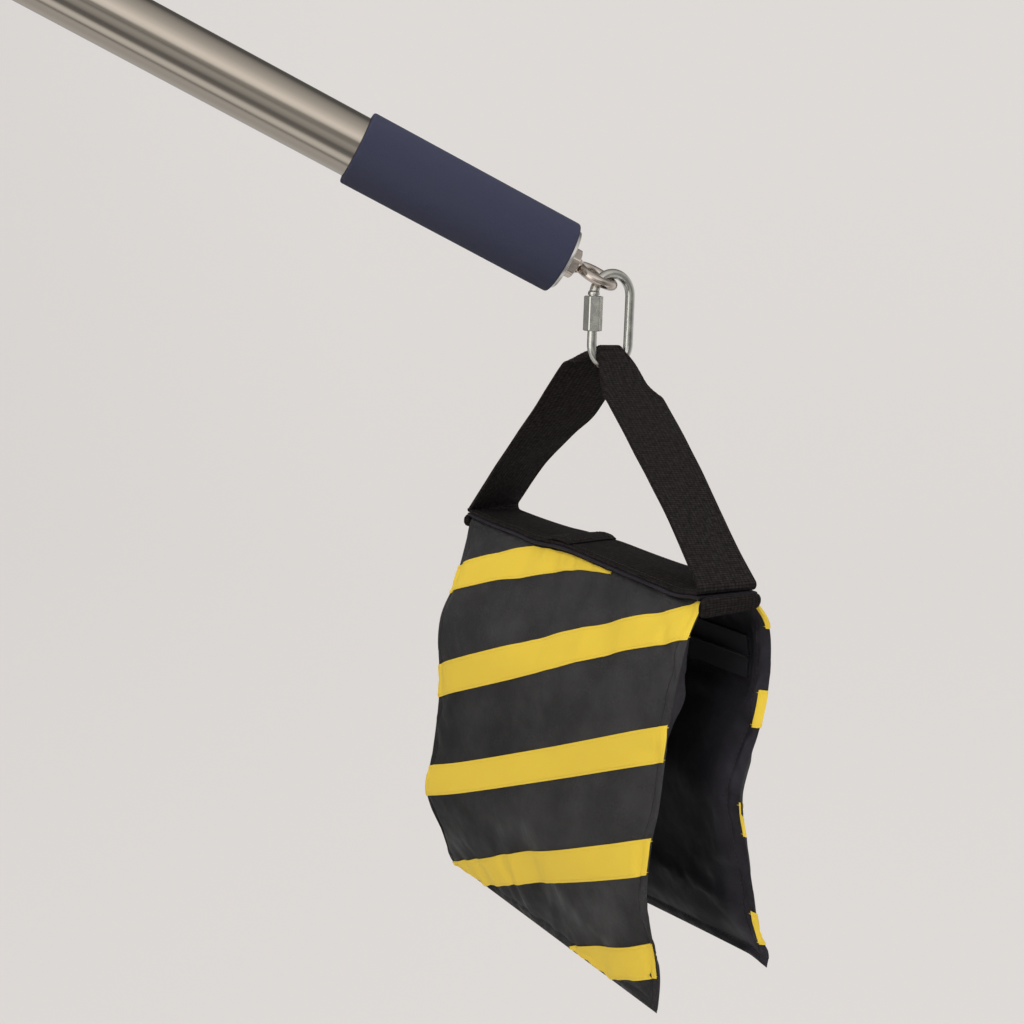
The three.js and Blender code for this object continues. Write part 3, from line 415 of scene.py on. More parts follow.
UP = Vector((0, 0, 1))
ACROSS = Vector((0, 1, 0))
HEAD = Matrix.Identity(4)
TILT = Matrix.Translation(Vector(joint("boom_tilt")["pos_m"]))
CLAMP = axes(joint("boom_tilt")["pos_m"], joint("boom_slide")["axis"], ACROSS)
BOOM = moved(CLAMP, 0, 0, LUG_DROP)
EYE = turned_about(BOOM, "X", EYE_ROLL)
LINK = axes(
    joint("link_swing")["pos_m"],
    Vector(joint("bag_swing")["axis"]).cross(UP),
    joint("bag_swing")["axis"],
)
BAG = axes(
    joint("bag_swing")["pos_m"],
    joint("back_zip_slide")["axis"],
    joint("bag_swing")["axis"],
)


# Meshes


def assigned(target, **values):
    """Sets attributes of anything, in their order, and gives it back."""
    for key, value in values.items():
        setattr(target, key, value)
    return target


def painted(piece, material):
    """Gives a piece its only material."""
    piece.data.materials.clear()
    piece.data.materials.append(material)
    return piece


def object_of(name, mesh, material=None):
    made = bpy.data.objects.new(name, mesh)
    bpy.context.scene.collection.objects.link(made)
    return painted(made, material) if material else made


def smoothed(mesh, angle=SMOOTH_ANGLE):
    """Smooth shading, with edges sharper than the angle kept crisp."""
    mesh.polygons.foreach_set("use_smooth", [True] * len(mesh.polygons))
    mesh.set_sharp_from_angle(angle=angle)
    mesh.update()


def mapped_mesh(name, vertices, faces, uvs):
    """A mesh with its faces turned outwards and a UV map, given as one place for each corner."""
    mesh = bpy.data.meshes.new(name)
    mesh.from_pydata(vertices, [], faces)
    layer = mesh.uv_layers.new(name="UVMap")
    layer.data.foreach_set("uv", [value for uv in uvs for value in uv])
    work = bmesh.new()
    work.from_mesh(mesh)
    bmesh.ops.recalc_face_normals(work, faces=work.faces)
    work.to_mesh(mesh)
    work.free()
    return mesh


def distances(points, wraps):
    """How far along a line of points each one lies, with the way back to the first if it wraps."""
    places = [0.0]
    stops = [*points, points[0]] if wraps else points
    for before, after in zip(stops, stops[1:]):
        places.append(places[-1] + (Vector(after) - Vector(before)).length)
    return places


def skin(name, rings, material, space=HEAD, along=False, caps=False, angle=SMOOTH_ANGLE,
         uvs=None):
    """A surface over rings of points, with a UV map in metres along and around it."""
    count = len(rings[0])
    rows = len(rings)
    vertices = [space @ Vector(point) for ring in rings for point in ring]
    if uvs is None:
        us = distances([sum((Vector(p) for p in ring), Vector()) / count for ring in rings], along)
        widest = max((Vector(ring[count // 2]) - Vector(ring[0])).length for ring in rings)
        if us[-1] < max(widest, MM) / 50:
            us = distances([ring[0] for ring in rings], along)
        vs = max((distances(ring, True) for ring in rings), key=lambda row: row[-1])
        uvs = (us, vs)
    us, vs = uvs
    faces = []
    corners = []
    for r in range(rows if along else rows - 1):
        below = (r + 1) % rows
        for i in range(count):
            k = (i + 1) % count
            faces.append((r * count + i, r * count + k, below * count + k, below * count + i))
            corners += [(us[r], vs[i]), (us[r], vs[i + 1])]
            corners += [(us[r + 1], vs[i + 1]), (us[r + 1], vs[i])]
    if caps:
        last = (rows - 1) * count
        faces.append(tuple(reversed(range(count))))
        corners += [(us[0], vs[i]) for i in reversed(range(count))]
        faces.append(tuple(range(last, last + count)))
        corners += [(us[rows - 1], vs[i]) for i in range(count)]
    mesh = mapped_mesh(name, vertices, faces, corners)
    smoothed(mesh, angle)
    return object_of(name, mesh, material)


def rounded(points, radius, closed=False, steps=4):
    """An outline with its corners rounded."""
    result = []
    last = len(points) - 1
    for i, point in enumerate(points):
        if not closed and i in (0, last):
            result.append(tuple(point))
            continue
        here = Vector(point)
        before = Vector(points[i - 1]) - here
        after = Vector(points[(i + 1) % len(points)]) - here
        angle = before.angle(after)
        if angle > math.radians(172):
            result.append(tuple(point))
            continue
        reach = min(radius / math.tan(angle / 2), before.length * 0.48, after.length * 0.48)
        start = here + before.normalized() * reach
        end = here + after.normalized() * reach
        for k in range(steps + 1):
            t = k / steps
            result.append(tuple(start * (1 - t) ** 2 + here * 2 * t * (1 - t) + end * t ** 2))
    return result


def circle(radius, count):
    turns = (2 * math.pi * i / count for i in range(count))
    return [(radius * math.cos(t), radius * math.sin(t)) for t in turns]


def turned(name, profile, material, space, columns=ROUND_COLUMNS, bored=True):
    """A turned piece along X, from points (x, radius); a bored one closes on itself."""
    rings = [[(x, *point) for point in circle(radius, columns)] for x, radius in profile]
    us = distances([(x, radius, 0) for x, radius in profile], bored)
    widest = max(radius for _, radius in profile)
    vs = [widest * 2 * math.pi * i / columns for i in range(columns + 1)]
    return skin(name, rings, material, space, along=bored, caps=not bored, uvs=(us, vs))


def ring_corners(start, end, inner, outer):
    return [(start, inner), (start, outer), (end, outer), (end, inner)]


def sleeve(name, corners, edge, material, space, columns=ROUND_COLUMNS):
    """A turned piece with a bore, from the corners of its section and their rounding."""
    return turned(name, rounded(corners, edge, closed=True), material, space, columns)


def rod(name, corners, edge, material, space, columns=SMALL_COLUMNS, steps=4):
    """A turned piece without a bore, from the corners of its outline and their rounding."""
    closed = [(corners[0][0], AXIS_RADIUS), *corners, (corners[-1][0], AXIS_RADIUS)]
    return turned(name, rounded(closed, edge, steps=steps), material, space, columns, bored=False)


def hexagon(name, flats, start, end, material, space, bore=0.0, columns=72, turn_share=0.0):
    """A hexagonal nut or head along X with chamfered corners, bored through if a bore is given."""
    sixth = math.radians(60)
    crown = flats / 2 * 0.96
    widest = flats / 2 / math.cos(sixth / 2) * 0.967
    edge = 0.3 * MM

    def ring(radius, x):
        return [(x, *point) for point in circle(radius, columns)]

    def corner_ring(face, inwards):
        points = []
        for i, (y, z) in enumerate(circle(1, columns)):
            turn = 2 * math.pi * i / columns + turn_share * sixth
            radius = min(flats / 2 / math.cos(turn % sixth - sixth / 2), widest)
            x = face + inwards * (radius - crown) * math.tan(sixth / 2)
            points.append((x, radius * y, radius * z))
        return points

    rings = [
        ring(crown, start), corner_ring(start, 1), corner_ring(end, -1), ring(crown, end),
    ]
    if bore:
        rings = [ring(bore + edge, start), *rings, ring(bore + edge, end)]
        rings += [ring(bore, end - edge), ring(bore, start + edge)]
    angle = math.radians(25)
    return skin(name, rings, material, space, along=bore > 0, caps=bore == 0, angle=angle)


def swept(name, route, section, material, space=HEAD, closed=False):
    """A section carried along a route of points, with rings that don't twist."""
    points = [Vector(point) for point in route]
    side = None
    rings = []
    for i, point in enumerate(points):
        before = points[i - 1] if closed or i else point
        after = points[(i + 1) % len(points)] if closed or i < len(points) - 1 else point
        heading = (after - before).normalized()
        if side is None:
            side = heading.orthogonal().normalized()
        side = (side - heading * side.dot(heading)).normalized()
        other = heading.cross(side)
        rings.append([point + side * a + other * b for a, b in section])
    return skin(name, rings, material, space, along=closed, caps=not closed)


def evaluated(piece, name=None):
    """The piece with its modifiers applied, as a plain object that takes its place."""
    graph = bpy.context.evaluated_depsgraph_get()
    graph.update()
    mesh = bpy.data.meshes.new_from_object(piece.evaluated_get(graph), depsgraph=graph)
    label = name or piece.name
    bpy.data.objects.remove(piece)
    return object_of(label, mesh)


def joined(name, pieces, material):
    """Several objects made one."""
    work = bmesh.new()
    for piece in pieces:
        work.from_mesh(piece.data)
        bpy.data.objects.remove(piece)
    mesh = bpy.data.meshes.new(name)
    work.to_mesh(mesh)
    work.free()
    smoothed(mesh)
    return object_of(name, mesh, material)


def fused(name, pieces, material, voxel):
    """Overlapping solids made one skin, with their meeting lines softened like a forging's."""
    whole = joined(name, pieces, material)
    fuse = whole.modifiers.new("Fuse", "REMESH")
    assigned(fuse, mode="VOXEL", voxel_size=voxel, use_smooth_shade=True)
    assigned(whole.modifiers.new("Soften", "SMOOTH"), factor=0.5, iterations=5)
    return painted(evaluated(whole), material)


def softened(name, node, material, width=0.9 * MM, segments=3):
    """A merged copy of a CAD node with its sharp edges rounded off."""
    work = bmesh.new()
    work.from_mesh(frame["nodes"][node].data)
    bmesh.ops.remove_doubles(work, verts=work.verts, dist=0.01 * MM)
    bmesh.ops.dissolve_limit(
        work, angle_limit=math.radians(1), verts=work.verts, edges=work.edges,
    )
    mesh = bpy.data.meshes.new(name)
    work.to_mesh(mesh)
    work.free()
    made = object_of(name, mesh, material)
    assigned(
        made.modifiers.new("Edges", "BEVEL"), width=width, segments=segments,
        limit_method="ANGLE", angle_limit=math.radians(35),
    )
    made = evaluated(made)
    smoothed(made.data, math.radians(40))
    return painted(made, material)


# Riding and replacing


def slotted(piece, nodes):
    if nodes:
        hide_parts(*nodes)


def fitted(piece, body, slot, *nodes):
    """Rides a finished piece on its body, in place of the CAD nodes that it stands for."""
    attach(piece, body)
    slotted(piece, nodes)


def hung(piece, half, slot, *nodes):
    """A piece of a pouch, with its place baked into its mesh, in place of the CAD nodes that it
    stands for.
    """
    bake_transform(piece)
    slotted(piece, nodes)


def dressed(node, material):
    """Gives a CAD node that stays its finish."""
    for entry in frame["nodes"][node].material_slots:
        entry.material = material


# Finishes


class Nodes:
    """A node tree, with short calls that add its nodes and link them."""

    def __init__(self, tree):
        self.tree = tree

    def feed(self, socket, value):
        if isinstance(value, bpy.types.NodeSocket):
            self.tree.links.new(value, socket)
        else:
            socket.default_value = value

    def add(self, kind, sockets=None, **settings):
        node = assigned(self.tree.nodes.new(kind), **settings)
        for key, value in (sockets or {}).items():
            self.feed(node.inputs[key], value)
        return node

    def out(self, kind, sockets=None, **settings):
        """The first output of a new node."""
        return self.add(kind, sockets, **settings).outputs[0]

    def math(self, operation, first, second=0.0):
        return self.out("ShaderNodeMath", {0: first, 1: second}, operation=operation)

    def ramp(self, value, low, high, start=0.3, stop=0.7):
        return self.out("ShaderNodeMapRange", {
            "Value": value, "From Min": start, "From Max": stop, "To Min": low, "To Max": high,
        })

    def mixed(self, share, first, second):
        sockets = {0: share, 6: first, 7: second}
        return self.add("ShaderNodeMix", sockets, data_type="RGBA").outputs[2]

    def split(self, places):
        return self.add("ShaderNodeSeparateXYZ", {"Vector": places}).outputs


class Surface(Nodes):
    """A material, with short calls for the textures that shape it."""

    def __init__(self, name, colour, roughness, metallic=0.0, shine=0.5):
        self.material = bpy.data.materials.new(name)
        self.material.use_nodes = True
        super().__init__(self.material.node_tree)
        self.colour = colour
        self.shader = next(n for n in self.tree.nodes if n.type == "BSDF_PRINCIPLED")
        self.shaded({
            "Base Color": (*colour, 1), "Roughness": roughness, "Metallic": metallic,
            "Specular IOR Level": shine,
        })

    def shaded(self, inputs):
        for key, value in inputs.items():
            if value is not None:
                self.feed(self.shader.inputs[key], value)

    def coordinates(self, source, scale=(1, 1, 1)):
        places = self.add("ShaderNodeTexCoord").outputs[source]
        return self.out("ShaderNodeMapping", {"Vector": places, "Scale": scale})

    def woven(self):
        """The two coordinates of a cloth, in metres along and across it."""
        return self.split(self.coordinates("UV"))[:2]

    def noise(self, places, scale, detail=2.0, roughness=0.5):
        """Noise over a set of places, or over UV places that are stretched as given."""
        if isinstance(places, tuple):
            places = self.coordinates("UV", places)
        sockets = {"Vector": places, "Scale": scale, "Detail": detail, "Roughness": roughness}
        return self.out("ShaderNodeTexNoise", sockets)

    def ridges(self, value, pitch):
        """Rounded ridges, one for each pitch along a coordinate."""
        turn = self.math("MULTIPLY", value, math.pi / pitch)
        return self.math("ABSOLUTE", self.math("SINE", turn))

    def shade(self, factor):
        """The base colour times a factor, or times one factor for each channel."""
        factors = factor if isinstance(factor, tuple) else (factor,) * 3
        return (*(min(1.0, v * f) for v, f in zip(self.colour, factors)), 1)

    def tinted(self, value, low, high, start=0.3, stop=0.7):
        """The base colour between two shades of it, as a value rises from start to stop."""
        return self.mixed(self.ramp(value, 0, 1, start, stop), self.shade(low), self.shade(high))

    def finished(self, *bumps, colour=None, roughness=None):
        """The material with its colour and roughness, and its bumps one over the other, each
        given as its height and its depth in metres."""
        normal = None
        for height, depth in bumps:
            sockets = {"Height": height, "Distance": depth, "Strength": 1.0}
            if normal is not None:
                sockets["Normal"] = normal
            normal = self.out("ShaderNodeBump", sockets)
        self.shaded({"Base Color": colour, "Roughness": roughness, "Normal": normal})
        return self.material


def drawn_stainless():
    """Polished tube with fine draw lines along it."""
    surface = Surface("drawn_stainless", colours().stainless, 0.12, 1.0)
    lines = surface.noise((3, 900, 1), 1.0, 4.0, 0.6)
    bands = surface.noise((1.4, 60, 1), 1.0)
    smudges = surface.noise((1, 1, 1), 24.0, 4.0)
    rough = surface.math("ADD", surface.ramp(lines, 0.06, 0.15), surface.ramp(smudges, 0, 0.06))
    return surface.finished(
        (lines, 0.004 * MM), (bands, 0.02 * MM),
        colour=surface.tinted(bands, 0.92, (1.05, 1.03, 0.99)), roughness=rough,
    )


def turned_aluminium():
    surface = Surface("turned_aluminium", colours().aluminium, 0.3, 1.0)
    rings = surface.noise((2600, 6, 1), 1.0)
    return surface.finished((rings, 0.015 * MM), roughness=surface.ramp(rings, 0.22, 0.4))


def plated(name, base, low, high):
    """Bright plate over steel, a little mottled."""
    surface = Surface(name, base, low, 1.0)
    places = surface.coordinates("Object")
    cloud = surface.noise(places, 160.0, 4.0, 0.6)
    grain = surface.noise(places, 1800.0)
    return surface.finished(
        (grain, 0.003 * MM), (cloud, 0.14 * MM),
        colour=surface.tinted(cloud, 0.82, (1.05, 1.04, 1.0)),
        roughness=surface.ramp(cloud, low, high),
    )


def bright_zinc():
    return plated("bright_zinc", colours().zinc, 0.16, 0.36)


def bright_nickel():
    return plated("bright_nickel", colours().nickel, 0.12, 0.26)


def powder_coat():
    surface = Surface("powder_coat", colours().coat, 0.5)
    places = surface.coordinates("Object")
    peel = surface.noise(places, 1400.0)
    wear = surface.noise(places, 70.0, 5.0, 0.65)
    return surface.finished(
        (peel, 0.09 * MM), colour=surface.tinted(wear, 0.85, 1.3),
        roughness=surface.ramp(wear, 0.42, 0.6),
    )


def moulded_plastic():
    surface = Surface("moulded_plastic", colours().plastic, 0.4)
    places = surface.coordinates("Object")
    grain = surface.noise(places, 2600.0)
    handled = surface.noise(places, 90.0, 3.0)
    return surface.finished(
        (grain, 0.03 * MM), colour=surface.tinted(handled, 0.9, 1.25),
        roughness=surface.ramp(handled, 0.34, 0.5),
    )


def closed_cell_foam():
    surface = Surface("closed_cell_foam", colours().foam, 0.9, shine=0.25)
    places = surface.coordinates("Object")
    sockets = {"Vector": places, "Scale": 1500.0}
    cells = surface.add("ShaderNodeTexVoronoi", sockets).outputs["Distance"]
    grain = surface.noise(places, 900.0, 3.0)
    patches = surface.noise(places, 40.0, 4.0, 0.6)
    # Darker in the cells' pits: painted shade in the pores; the patches are the foam's own tone.
    tint = surface.mixed(
        surface.ramp(patches, 0, 1), surface.tinted(cells, 0.82, 1.1, 0.0, 0.6),
        surface.shade((1.08, 1.06, 1.0)),
    )
    return surface.finished((cells, 0.05 * MM), (grain, 0.05 * MM), colour=tint)


def ribbed_webbing():
    return heavy_webbing("ribbed_webbing", colours().webbing)


def rolled_webbing():
    return heavy_webbing("rolled_webbing", tuple(value * 0.85 for value in colours().webbing))


def heavy_webbing(name, base):
    """Heavy webbing: ribs across it at an even pitch, and columns of warp along it."""
    surface = Surface(name, base, 0.8, shine=0.08)
    u, v = surface.woven()
    columns = surface.ramp(surface.ridges(v, 2.6 * MM), 0.35, 1.0, 0.0, 0.8)
    fine = surface.ramp(surface.ridges(v, 0.65 * MM), 0.7, 1.0, 0, 1)
    ribs = surface.ramp(surface.ridges(u, 1.45 * MM), 0.15, 1.0, 0.0, 1.0)
    cord = surface.math("MULTIPLY", ribs, surface.math("MULTIPLY", columns, fine))
    fibres = surface.noise((5200, 1400, 1), 1.0)
    worn = surface.noise((1, 1, 1), 60.0, 5.0, 0.65)
    flecks = surface.noise((1, 0.7, 1), 460.0)
    # Lighter on the ribs' crests and near black between them: painted highlight on the crests and
    # painted shade in the grooves.
    tint = surface.tinted(cord, 0.08, 1.95, 0.1, 0.8)
    speck = surface.mixed(surface.ramp(fibres, 0, 1), tint, surface.shade(2.6))
    flecked = surface.mixed(surface.ramp(fibres, 0.0, 0.6, 0.35, 0.7), tint, speck)
    return surface.finished(
        (cord, 0.3 * MM), (fibres, 0.08 * MM),
        colour=surface.mixed(surface.ramp(flecks, 0.0, 0.75), flecked, surface.shade(0.25)),
        roughness=surface.ramp(worn, 0.7, 0.95),
    )


def zip_twill():
    """Thin dark tape with a slanting twill."""
    surface = Surface("zip_twill", colours().lining, 0.7, shine=0.3)
    twill = surface.ridges(surface.math("ADD", *surface.woven()), 0.9 * MM)
    # Darker in the twill's grooves and lighter on its ridges: painted shade and painted highlight.
    return surface.finished((twill, 0.08 * MM), colour=surface.tinted(twill, 0.6, 1.2, 0, 1))


def coated_nylon(name, base, soil):
    """Plain-weave nylon with a thin coat, crumpled, lighter on its crumples as painted sheen with
    some scuffing, and mixed towards black by a painted shade mask.
    """
    surface = Surface(name, base, 0.52, shine=0.1)
    u, v = surface.woven()
    across, along = (
        surface.ridges(surface.math(way, u, v), 1.15 * MM) for way in ("ADD", "SUBTRACT")
    )
    weave = surface.math("MULTIPLY", across, along)
    crumple = surface.noise((1, 1, 1), 26.0, 5.0, 0.55)
    patches = surface.noise((1, 1.7, 1), 60.0, 3.0, 0.6)
    yarn = surface.noise((1, 1, 1), 700.0, 2.0, 0.6)
    # The weave lighter at its crossings and darker between them: painted highlight and painted
    # shade; the yarn's tone varies at random.
    cloth = surface.mixed(
        surface.ramp(patches, 0.25, 1.0, 0.4, 0.62), surface.tinted(yarn, 0.62, 1.38),
        surface.tinted(weave, 0.55, 1.45, 0.1, 0.9),
    )
    # Lighter on the crumples' rises: painted sheen on the creases, with some scuffing.
    scuffs_and_painted_sheen = surface.mixed(surface.ramp(crumple, 0, 0.5, 0.4, 0.66), cloth, surface.shade(1.8))
    return surface.finished(
        (crumple, 1.6 * MM), (weave, 0.05 * MM), (yarn, 0.04 * MM),
        # The colour mixed towards black where the shade is painted.
        colour=surface.mixed(soil(surface, u, v), scuffs_and_painted_sheen, (0, 0, 0, 1)),
        roughness=surface.ramp(crumple, 0.64, 0.4, 0.35, 0.65),
    )


def oxford_nylon():
    """The outer cloth, with painted shade: darker towards its far side and its foot."""
    def soil(surface, u, v):
        side = surface.math(
            "MULTIPLY", surface.ramp(u, 0.45, 0.0, 0.0, 0.2), surface.ramp(v, 0.0, 1.0, 0.05, 0.11),
        )
        return surface.math("ADD", side, surface.ramp(v, 0.0, 0.3, 0.165, 0.215))

    return coated_nylon("oxford_nylon", colours().nylon, soil)


def lining_nylon():
    """The inner cloth, with painted shade: darker towards its foot, but not on the lit roll along
    its near side.
    """
    def soil(surface, u, v):
        roll = bag().pouch_width * 2
        foot = surface.ramp(v, 0.0, 0.55, 0.02, 0.2)
        return surface.math("MULTIPLY", foot, surface.ramp(u, 1.0, 0.0, roll, roll + 6 * MM))

    return coated_nylon("lining_nylon", colours().lining, soil)


def woven_ribbon():
    surface = Surface("woven_ribbon", colours().ribbon, 0.72, shine=0.3)
    u, v = surface.woven()
    warp = surface.ramp(surface.ridges(v, 0.9 * MM), 0.6, 1.0, 0, 1)
    cloth = surface.math("MULTIPLY", surface.ridges(u, 0.75 * MM), warp)
    stain = surface.noise((1, 1, 1), 30.0, 5.0, 0.6)
    # Darker in the weave's hollows: painted shade; the stains are real.
    tint = surface.tinted(cloth, 0.88, 1.04, 0, 1)
    stained = surface.mixed(surface.ramp(stain, 0, 0.5), tint, surface.shade((0.97, 0.92, 0.8)))
    return surface.finished((cloth, 0.06 * MM), (stain, 0.2 * MM), colour=stained)


def thread(name, base):
    surface = Surface(name, base, 0.6)
    ply = surface.noise(surface.coordinates("Object"), 3000.0, 1.0)
    return surface.finished(colour=surface.tinted(ply, 0.8, 1.15))


def black_thread():
    return thread("black_thread", tuple(value * 1.1 for value in colours().webbing))


def yellow_thread():
    return thread("yellow_thread", colours().ribbon)


def nylon_coil():
    surface = Surface("nylon_coil", colours().plastic, 0.35)
    grain = surface.noise(surface.coordinates("Object"), 1200.0)
    return surface.finished(roughness=surface.ramp(grain, 0.28, 0.42))


def finish(maker):
    """The material that a maker function gives, made once."""
    return bpy.data.materials.get(maker.__name__) or maker()


# Geometry node trees for what repeats


class Tree(Nodes):
    """A geometry node tree with named inputs."""

    def __init__(self, name, **inputs):
        super().__init__(bpy.data.node_groups.new(name, "GeometryNodeTree"))
        self.socket("Geometry", "INPUT", "NodeSocketGeometry")
        self.socket("Geometry", "OUTPUT", "NodeSocketGeometry")
        for label, default in inputs.items():
            kind = "NodeSocketInt" if isinstance(default, int) else "NodeSocketFloat"
            self.socket(label, "INPUT", kind).default_value = default
        self.socket("Finish", "INPUT", "NodeSocketMaterial")
        self.given = self.add("NodeGroupInput").outputs

    def socket(self, label, direction, kind):
        return self.tree.interface.new_socket(label, in_out=direction, socket_type=kind)

    def vector(self, x, y=0.0, z=0.0):
        return self.out("ShaderNodeCombineXYZ", {"X": x, "Y": y, "Z": z})

    def laid(self, geometry, along):
        """Geometry that stands round Z laid round X, some way along it."""
        upright = {"Geometry": geometry, "Rotation": (0, math.radians(90), 0)}
        lying = self.out("GeometryNodeTransform", upright)
        shift = self.vector(along)
        return self.out("GeometryNodeTransform", {"Geometry": lying, "Translation": shift})

    def beads(self, points, segments, rings, radius, size, **turn):
        """A sphere at each point, scaled by the size."""
        sphere = {"Segments": segments, "Rings": rings, "Radius": radius}
        bead = self.out("GeometryNodeMeshUVSphere", sphere)
        sockets = {"Points": points, "Instance": bead, "Scale": size, **turn}
        return self.closed(self.out("GeometryNodeInstanceOnPoints", sockets))

    def closed(self, instances):
        """Ends the tree: what repeats becomes real mesh and takes its finish."""
        real = self.out("GeometryNodeRealizeInstances", {"Geometry": instances})
        smooth = self.out("GeometryNodeSetShadeSmooth", {"Geometry": real})
        sockets = {"Geometry": smooth, "Material": self.given["Finish"]}
        self.add("NodeGroupOutput", {"Geometry": self.out("GeometryNodeSetMaterial", sockets)})
        return self.tree

    def steps(self):
        """Points at an even pitch along the edges of the given path, and their turns."""
        line = self.out("GeometryNodeMeshToCurve", {"Mesh": self.given["Geometry"]})
        sockets = {"Curve": line, "Length": self.given["Pitch"]}
        made = self.add("GeometryNodeCurveToPoints", sockets, mode="LENGTH").outputs
        return made["Points"], made["Rotation"]


def stitch_tree():
    """Stitches along a path: a slim bead of thread at each step."""
    tree = Tree("stitch_tree", Pitch=3.0 * MM, Thread=0.3 * MM, Stitch=2.2 * MM)
    points, turn = tree.steps()
    thickness = tree.given["Thread"]
    size = tree.vector(thickness, thickness, tree.math("MULTIPLY", tree.given["Stitch"], 0.5))
    return tree.beads(points, 6, 4, 1.0, size, Rotation=turn)


def teeth_tree():
    """Zip teeth along a path: a rounded block at each step, as wide as the coil."""
    tree = Tree("teeth_tree", Pitch=1.5 * MM, Width=5.0 * MM, Depth=1.1 * MM)
    points, turn = tree.steps()
    thickness = tree.math("MULTIPLY", tree.given["Pitch"], 0.85)
    size = tree.vector(tree.given["Depth"], tree.given["Width"], thickness)
    return tree.beads(points, 8, 5, 0.5, size, Rotation=turn)


def rib_tree():
    """Grip ribs round the X axis: slim rounded bars at even turns."""
    tree = Tree("rib_tree", Count=12, Radius=10.0 * MM, Start=0.0, Length=20.0 * MM, Rib=1.0 * MM)
    circle_sockets = {"Resolution": tree.given["Count"], "Radius": tree.given["Radius"]}
    ring = tree.out("GeometryNodeCurvePrimitiveCircle", circle_sockets)
    middle = tree.math("MULTIPLY", tree.given["Length"], 0.5)
    points = tree.laid(ring, tree.math("ADD", tree.given["Start"], middle))
    rib = tree.given["Rib"]
    return tree.beads(points, 10, 8, 1.0, tree.vector(middle, rib, rib))


def thread_tree():
    """A screw thread round the X axis: a fine cord wound at an even pitch."""
    tree = Tree(
        "thread_tree", Turns=8.0, Radius=4.0 * MM, Start=0.0, Length=10.0 * MM, Depth=0.4 * MM,
    )
    coil = tree.out("GeometryNodeCurveSpiral", {
        "Resolution": 20, "Rotations": tree.given["Turns"], "Start Radius": tree.given["Radius"],
        "End Radius": tree.given["Radius"], "Height": tree.given["Length"],
    })
    cord = {"Resolution": 6, "Radius": tree.given["Depth"]}
    return tree.closed(tree.out("GeometryNodeCurveToMesh", {
        "Curve": tree.laid(coil, tree.given["Start"]),
        "Profile Curve": tree.out("GeometryNodeCurvePrimitiveCircle", cord), "Fill Caps": True,
    }))


def grown(name, tree_maker, material, space=HEAD, source=None, **values):
    """A plain mesh grown by a node tree, from a source mesh if it has one."""
    group = bpy.data.node_groups.get(tree_maker.__name__) or tree_maker()
    seed = object_of(name + "_seed", source or bpy.data.meshes.new(name + "_seed"))
    modifier = seed.modifiers.new("Grow", "NODES")
    modifier.node_group = group
    values["Finish"] = material
    for item in group.interface.items_tree:
        if item.in_out == "INPUT" and item.name in values:
            modifier[item.identifier] = values[item.name]
    made = evaluated(seed, name)
    made.data.transform(space)
    return painted(made, material)


def path_mesh(lines):
    """A mesh of loose edges along one or more lines of points."""
    vertices = []
    edges = []
    for line in lines:
        first = len(vertices)
        vertices += [Vector(point) for point in line]
        edges += [(first + i, first + i + 1) for i in range(len(line) - 1)]
    mesh = bpy.data.meshes.new("path")
    mesh.from_pydata(vertices, edges, [])
    return mesh


def stitched(name, lines, material, thread_radius=0.28 * MM):
    """One mesh of stitches along lines of points."""
    pitch = bag().stitch_pitch
    values = {"Pitch": pitch, "Thread": thread_radius, "Stitch": pitch * 0.8}
    return grown(name, stitch_tree, material, source=path_mesh(lines), **values)


# Steps


class Step:
    """What every step shares: it builds its pieces and is done."""

    def execute(self, context):
        self.build()
        return {"FINISHED"}


# Boom


def rear_tube_from():
    return boom().butt_reach - boom().tube_length


def front_tube_from():
    return rear_tube_from() - boom().front_reach


class BoomTubes(Step, bpy.types.Operator):
    """Makes the two drawn tubes."""

    bl_idname = "boom_arm.tubes"
    bl_label = "Tubes"

    def build(self):
        sizes = boom()
        for name, body, diameter, start, length in (
            ("rear", "boom", sizes.tube_diameter, rear_tube_from(), sizes.tube_length),
            ("front", "extension", sizes.front_diameter, front_tube_from(), sizes.front_length),
        ):
            radius = diameter / 2
            corners = ring_corners(start, start + length, radius - sizes.tube_wall, radius)
            steel = finish(drawn_stainless)
            tube = sleeve(name + "_boom_tube", corners, 0.35 * MM, steel, BOOM, FINE_COLUMNS)
            fitted(tube, body, "stainless", name + "_tube")


class FoamGrip(Step, bpy.types.Operator):
    """Makes the foam sleeve with its rounded ends."""

    bl_idname = "boom_arm.foam_grip"
    bl_label = "Foam Grip"

    def build(self):
        sizes = boom()
        inner = sizes.tube_diameter / 2 + SEAT_GAP
        end = sizes.butt_reach
        start = end - sizes.foam_length
        corners = ring_corners(start, end, inner, inner + sizes.foam_wall)
        profile = rounded(corners, sizes.foam_rounding, steps=8)
        rows = 40
        profile += [(end + (start - end) * k / rows, inner) for k in range(1, rows)]
        piece = turned("foam_sleeve", profile, finish(closed_cell_foam), BOOM, FINE_COLUMNS)
        for vertex in piece.data.vertices:
            place = BOOM.inverted() @ vertex.co
            outward = Vector((0, place.y, place.z))
            if math.hypot(place.y, place.z) > inner + MM:
                wobble = noise.noise(place * FOAM_WOBBLES) * FOAM_WOBBLE
                vertex.co = BOOM @ (place + outward.normalized() * wobble)
        fitted(piece, "boom", "foam", "foam_grip")


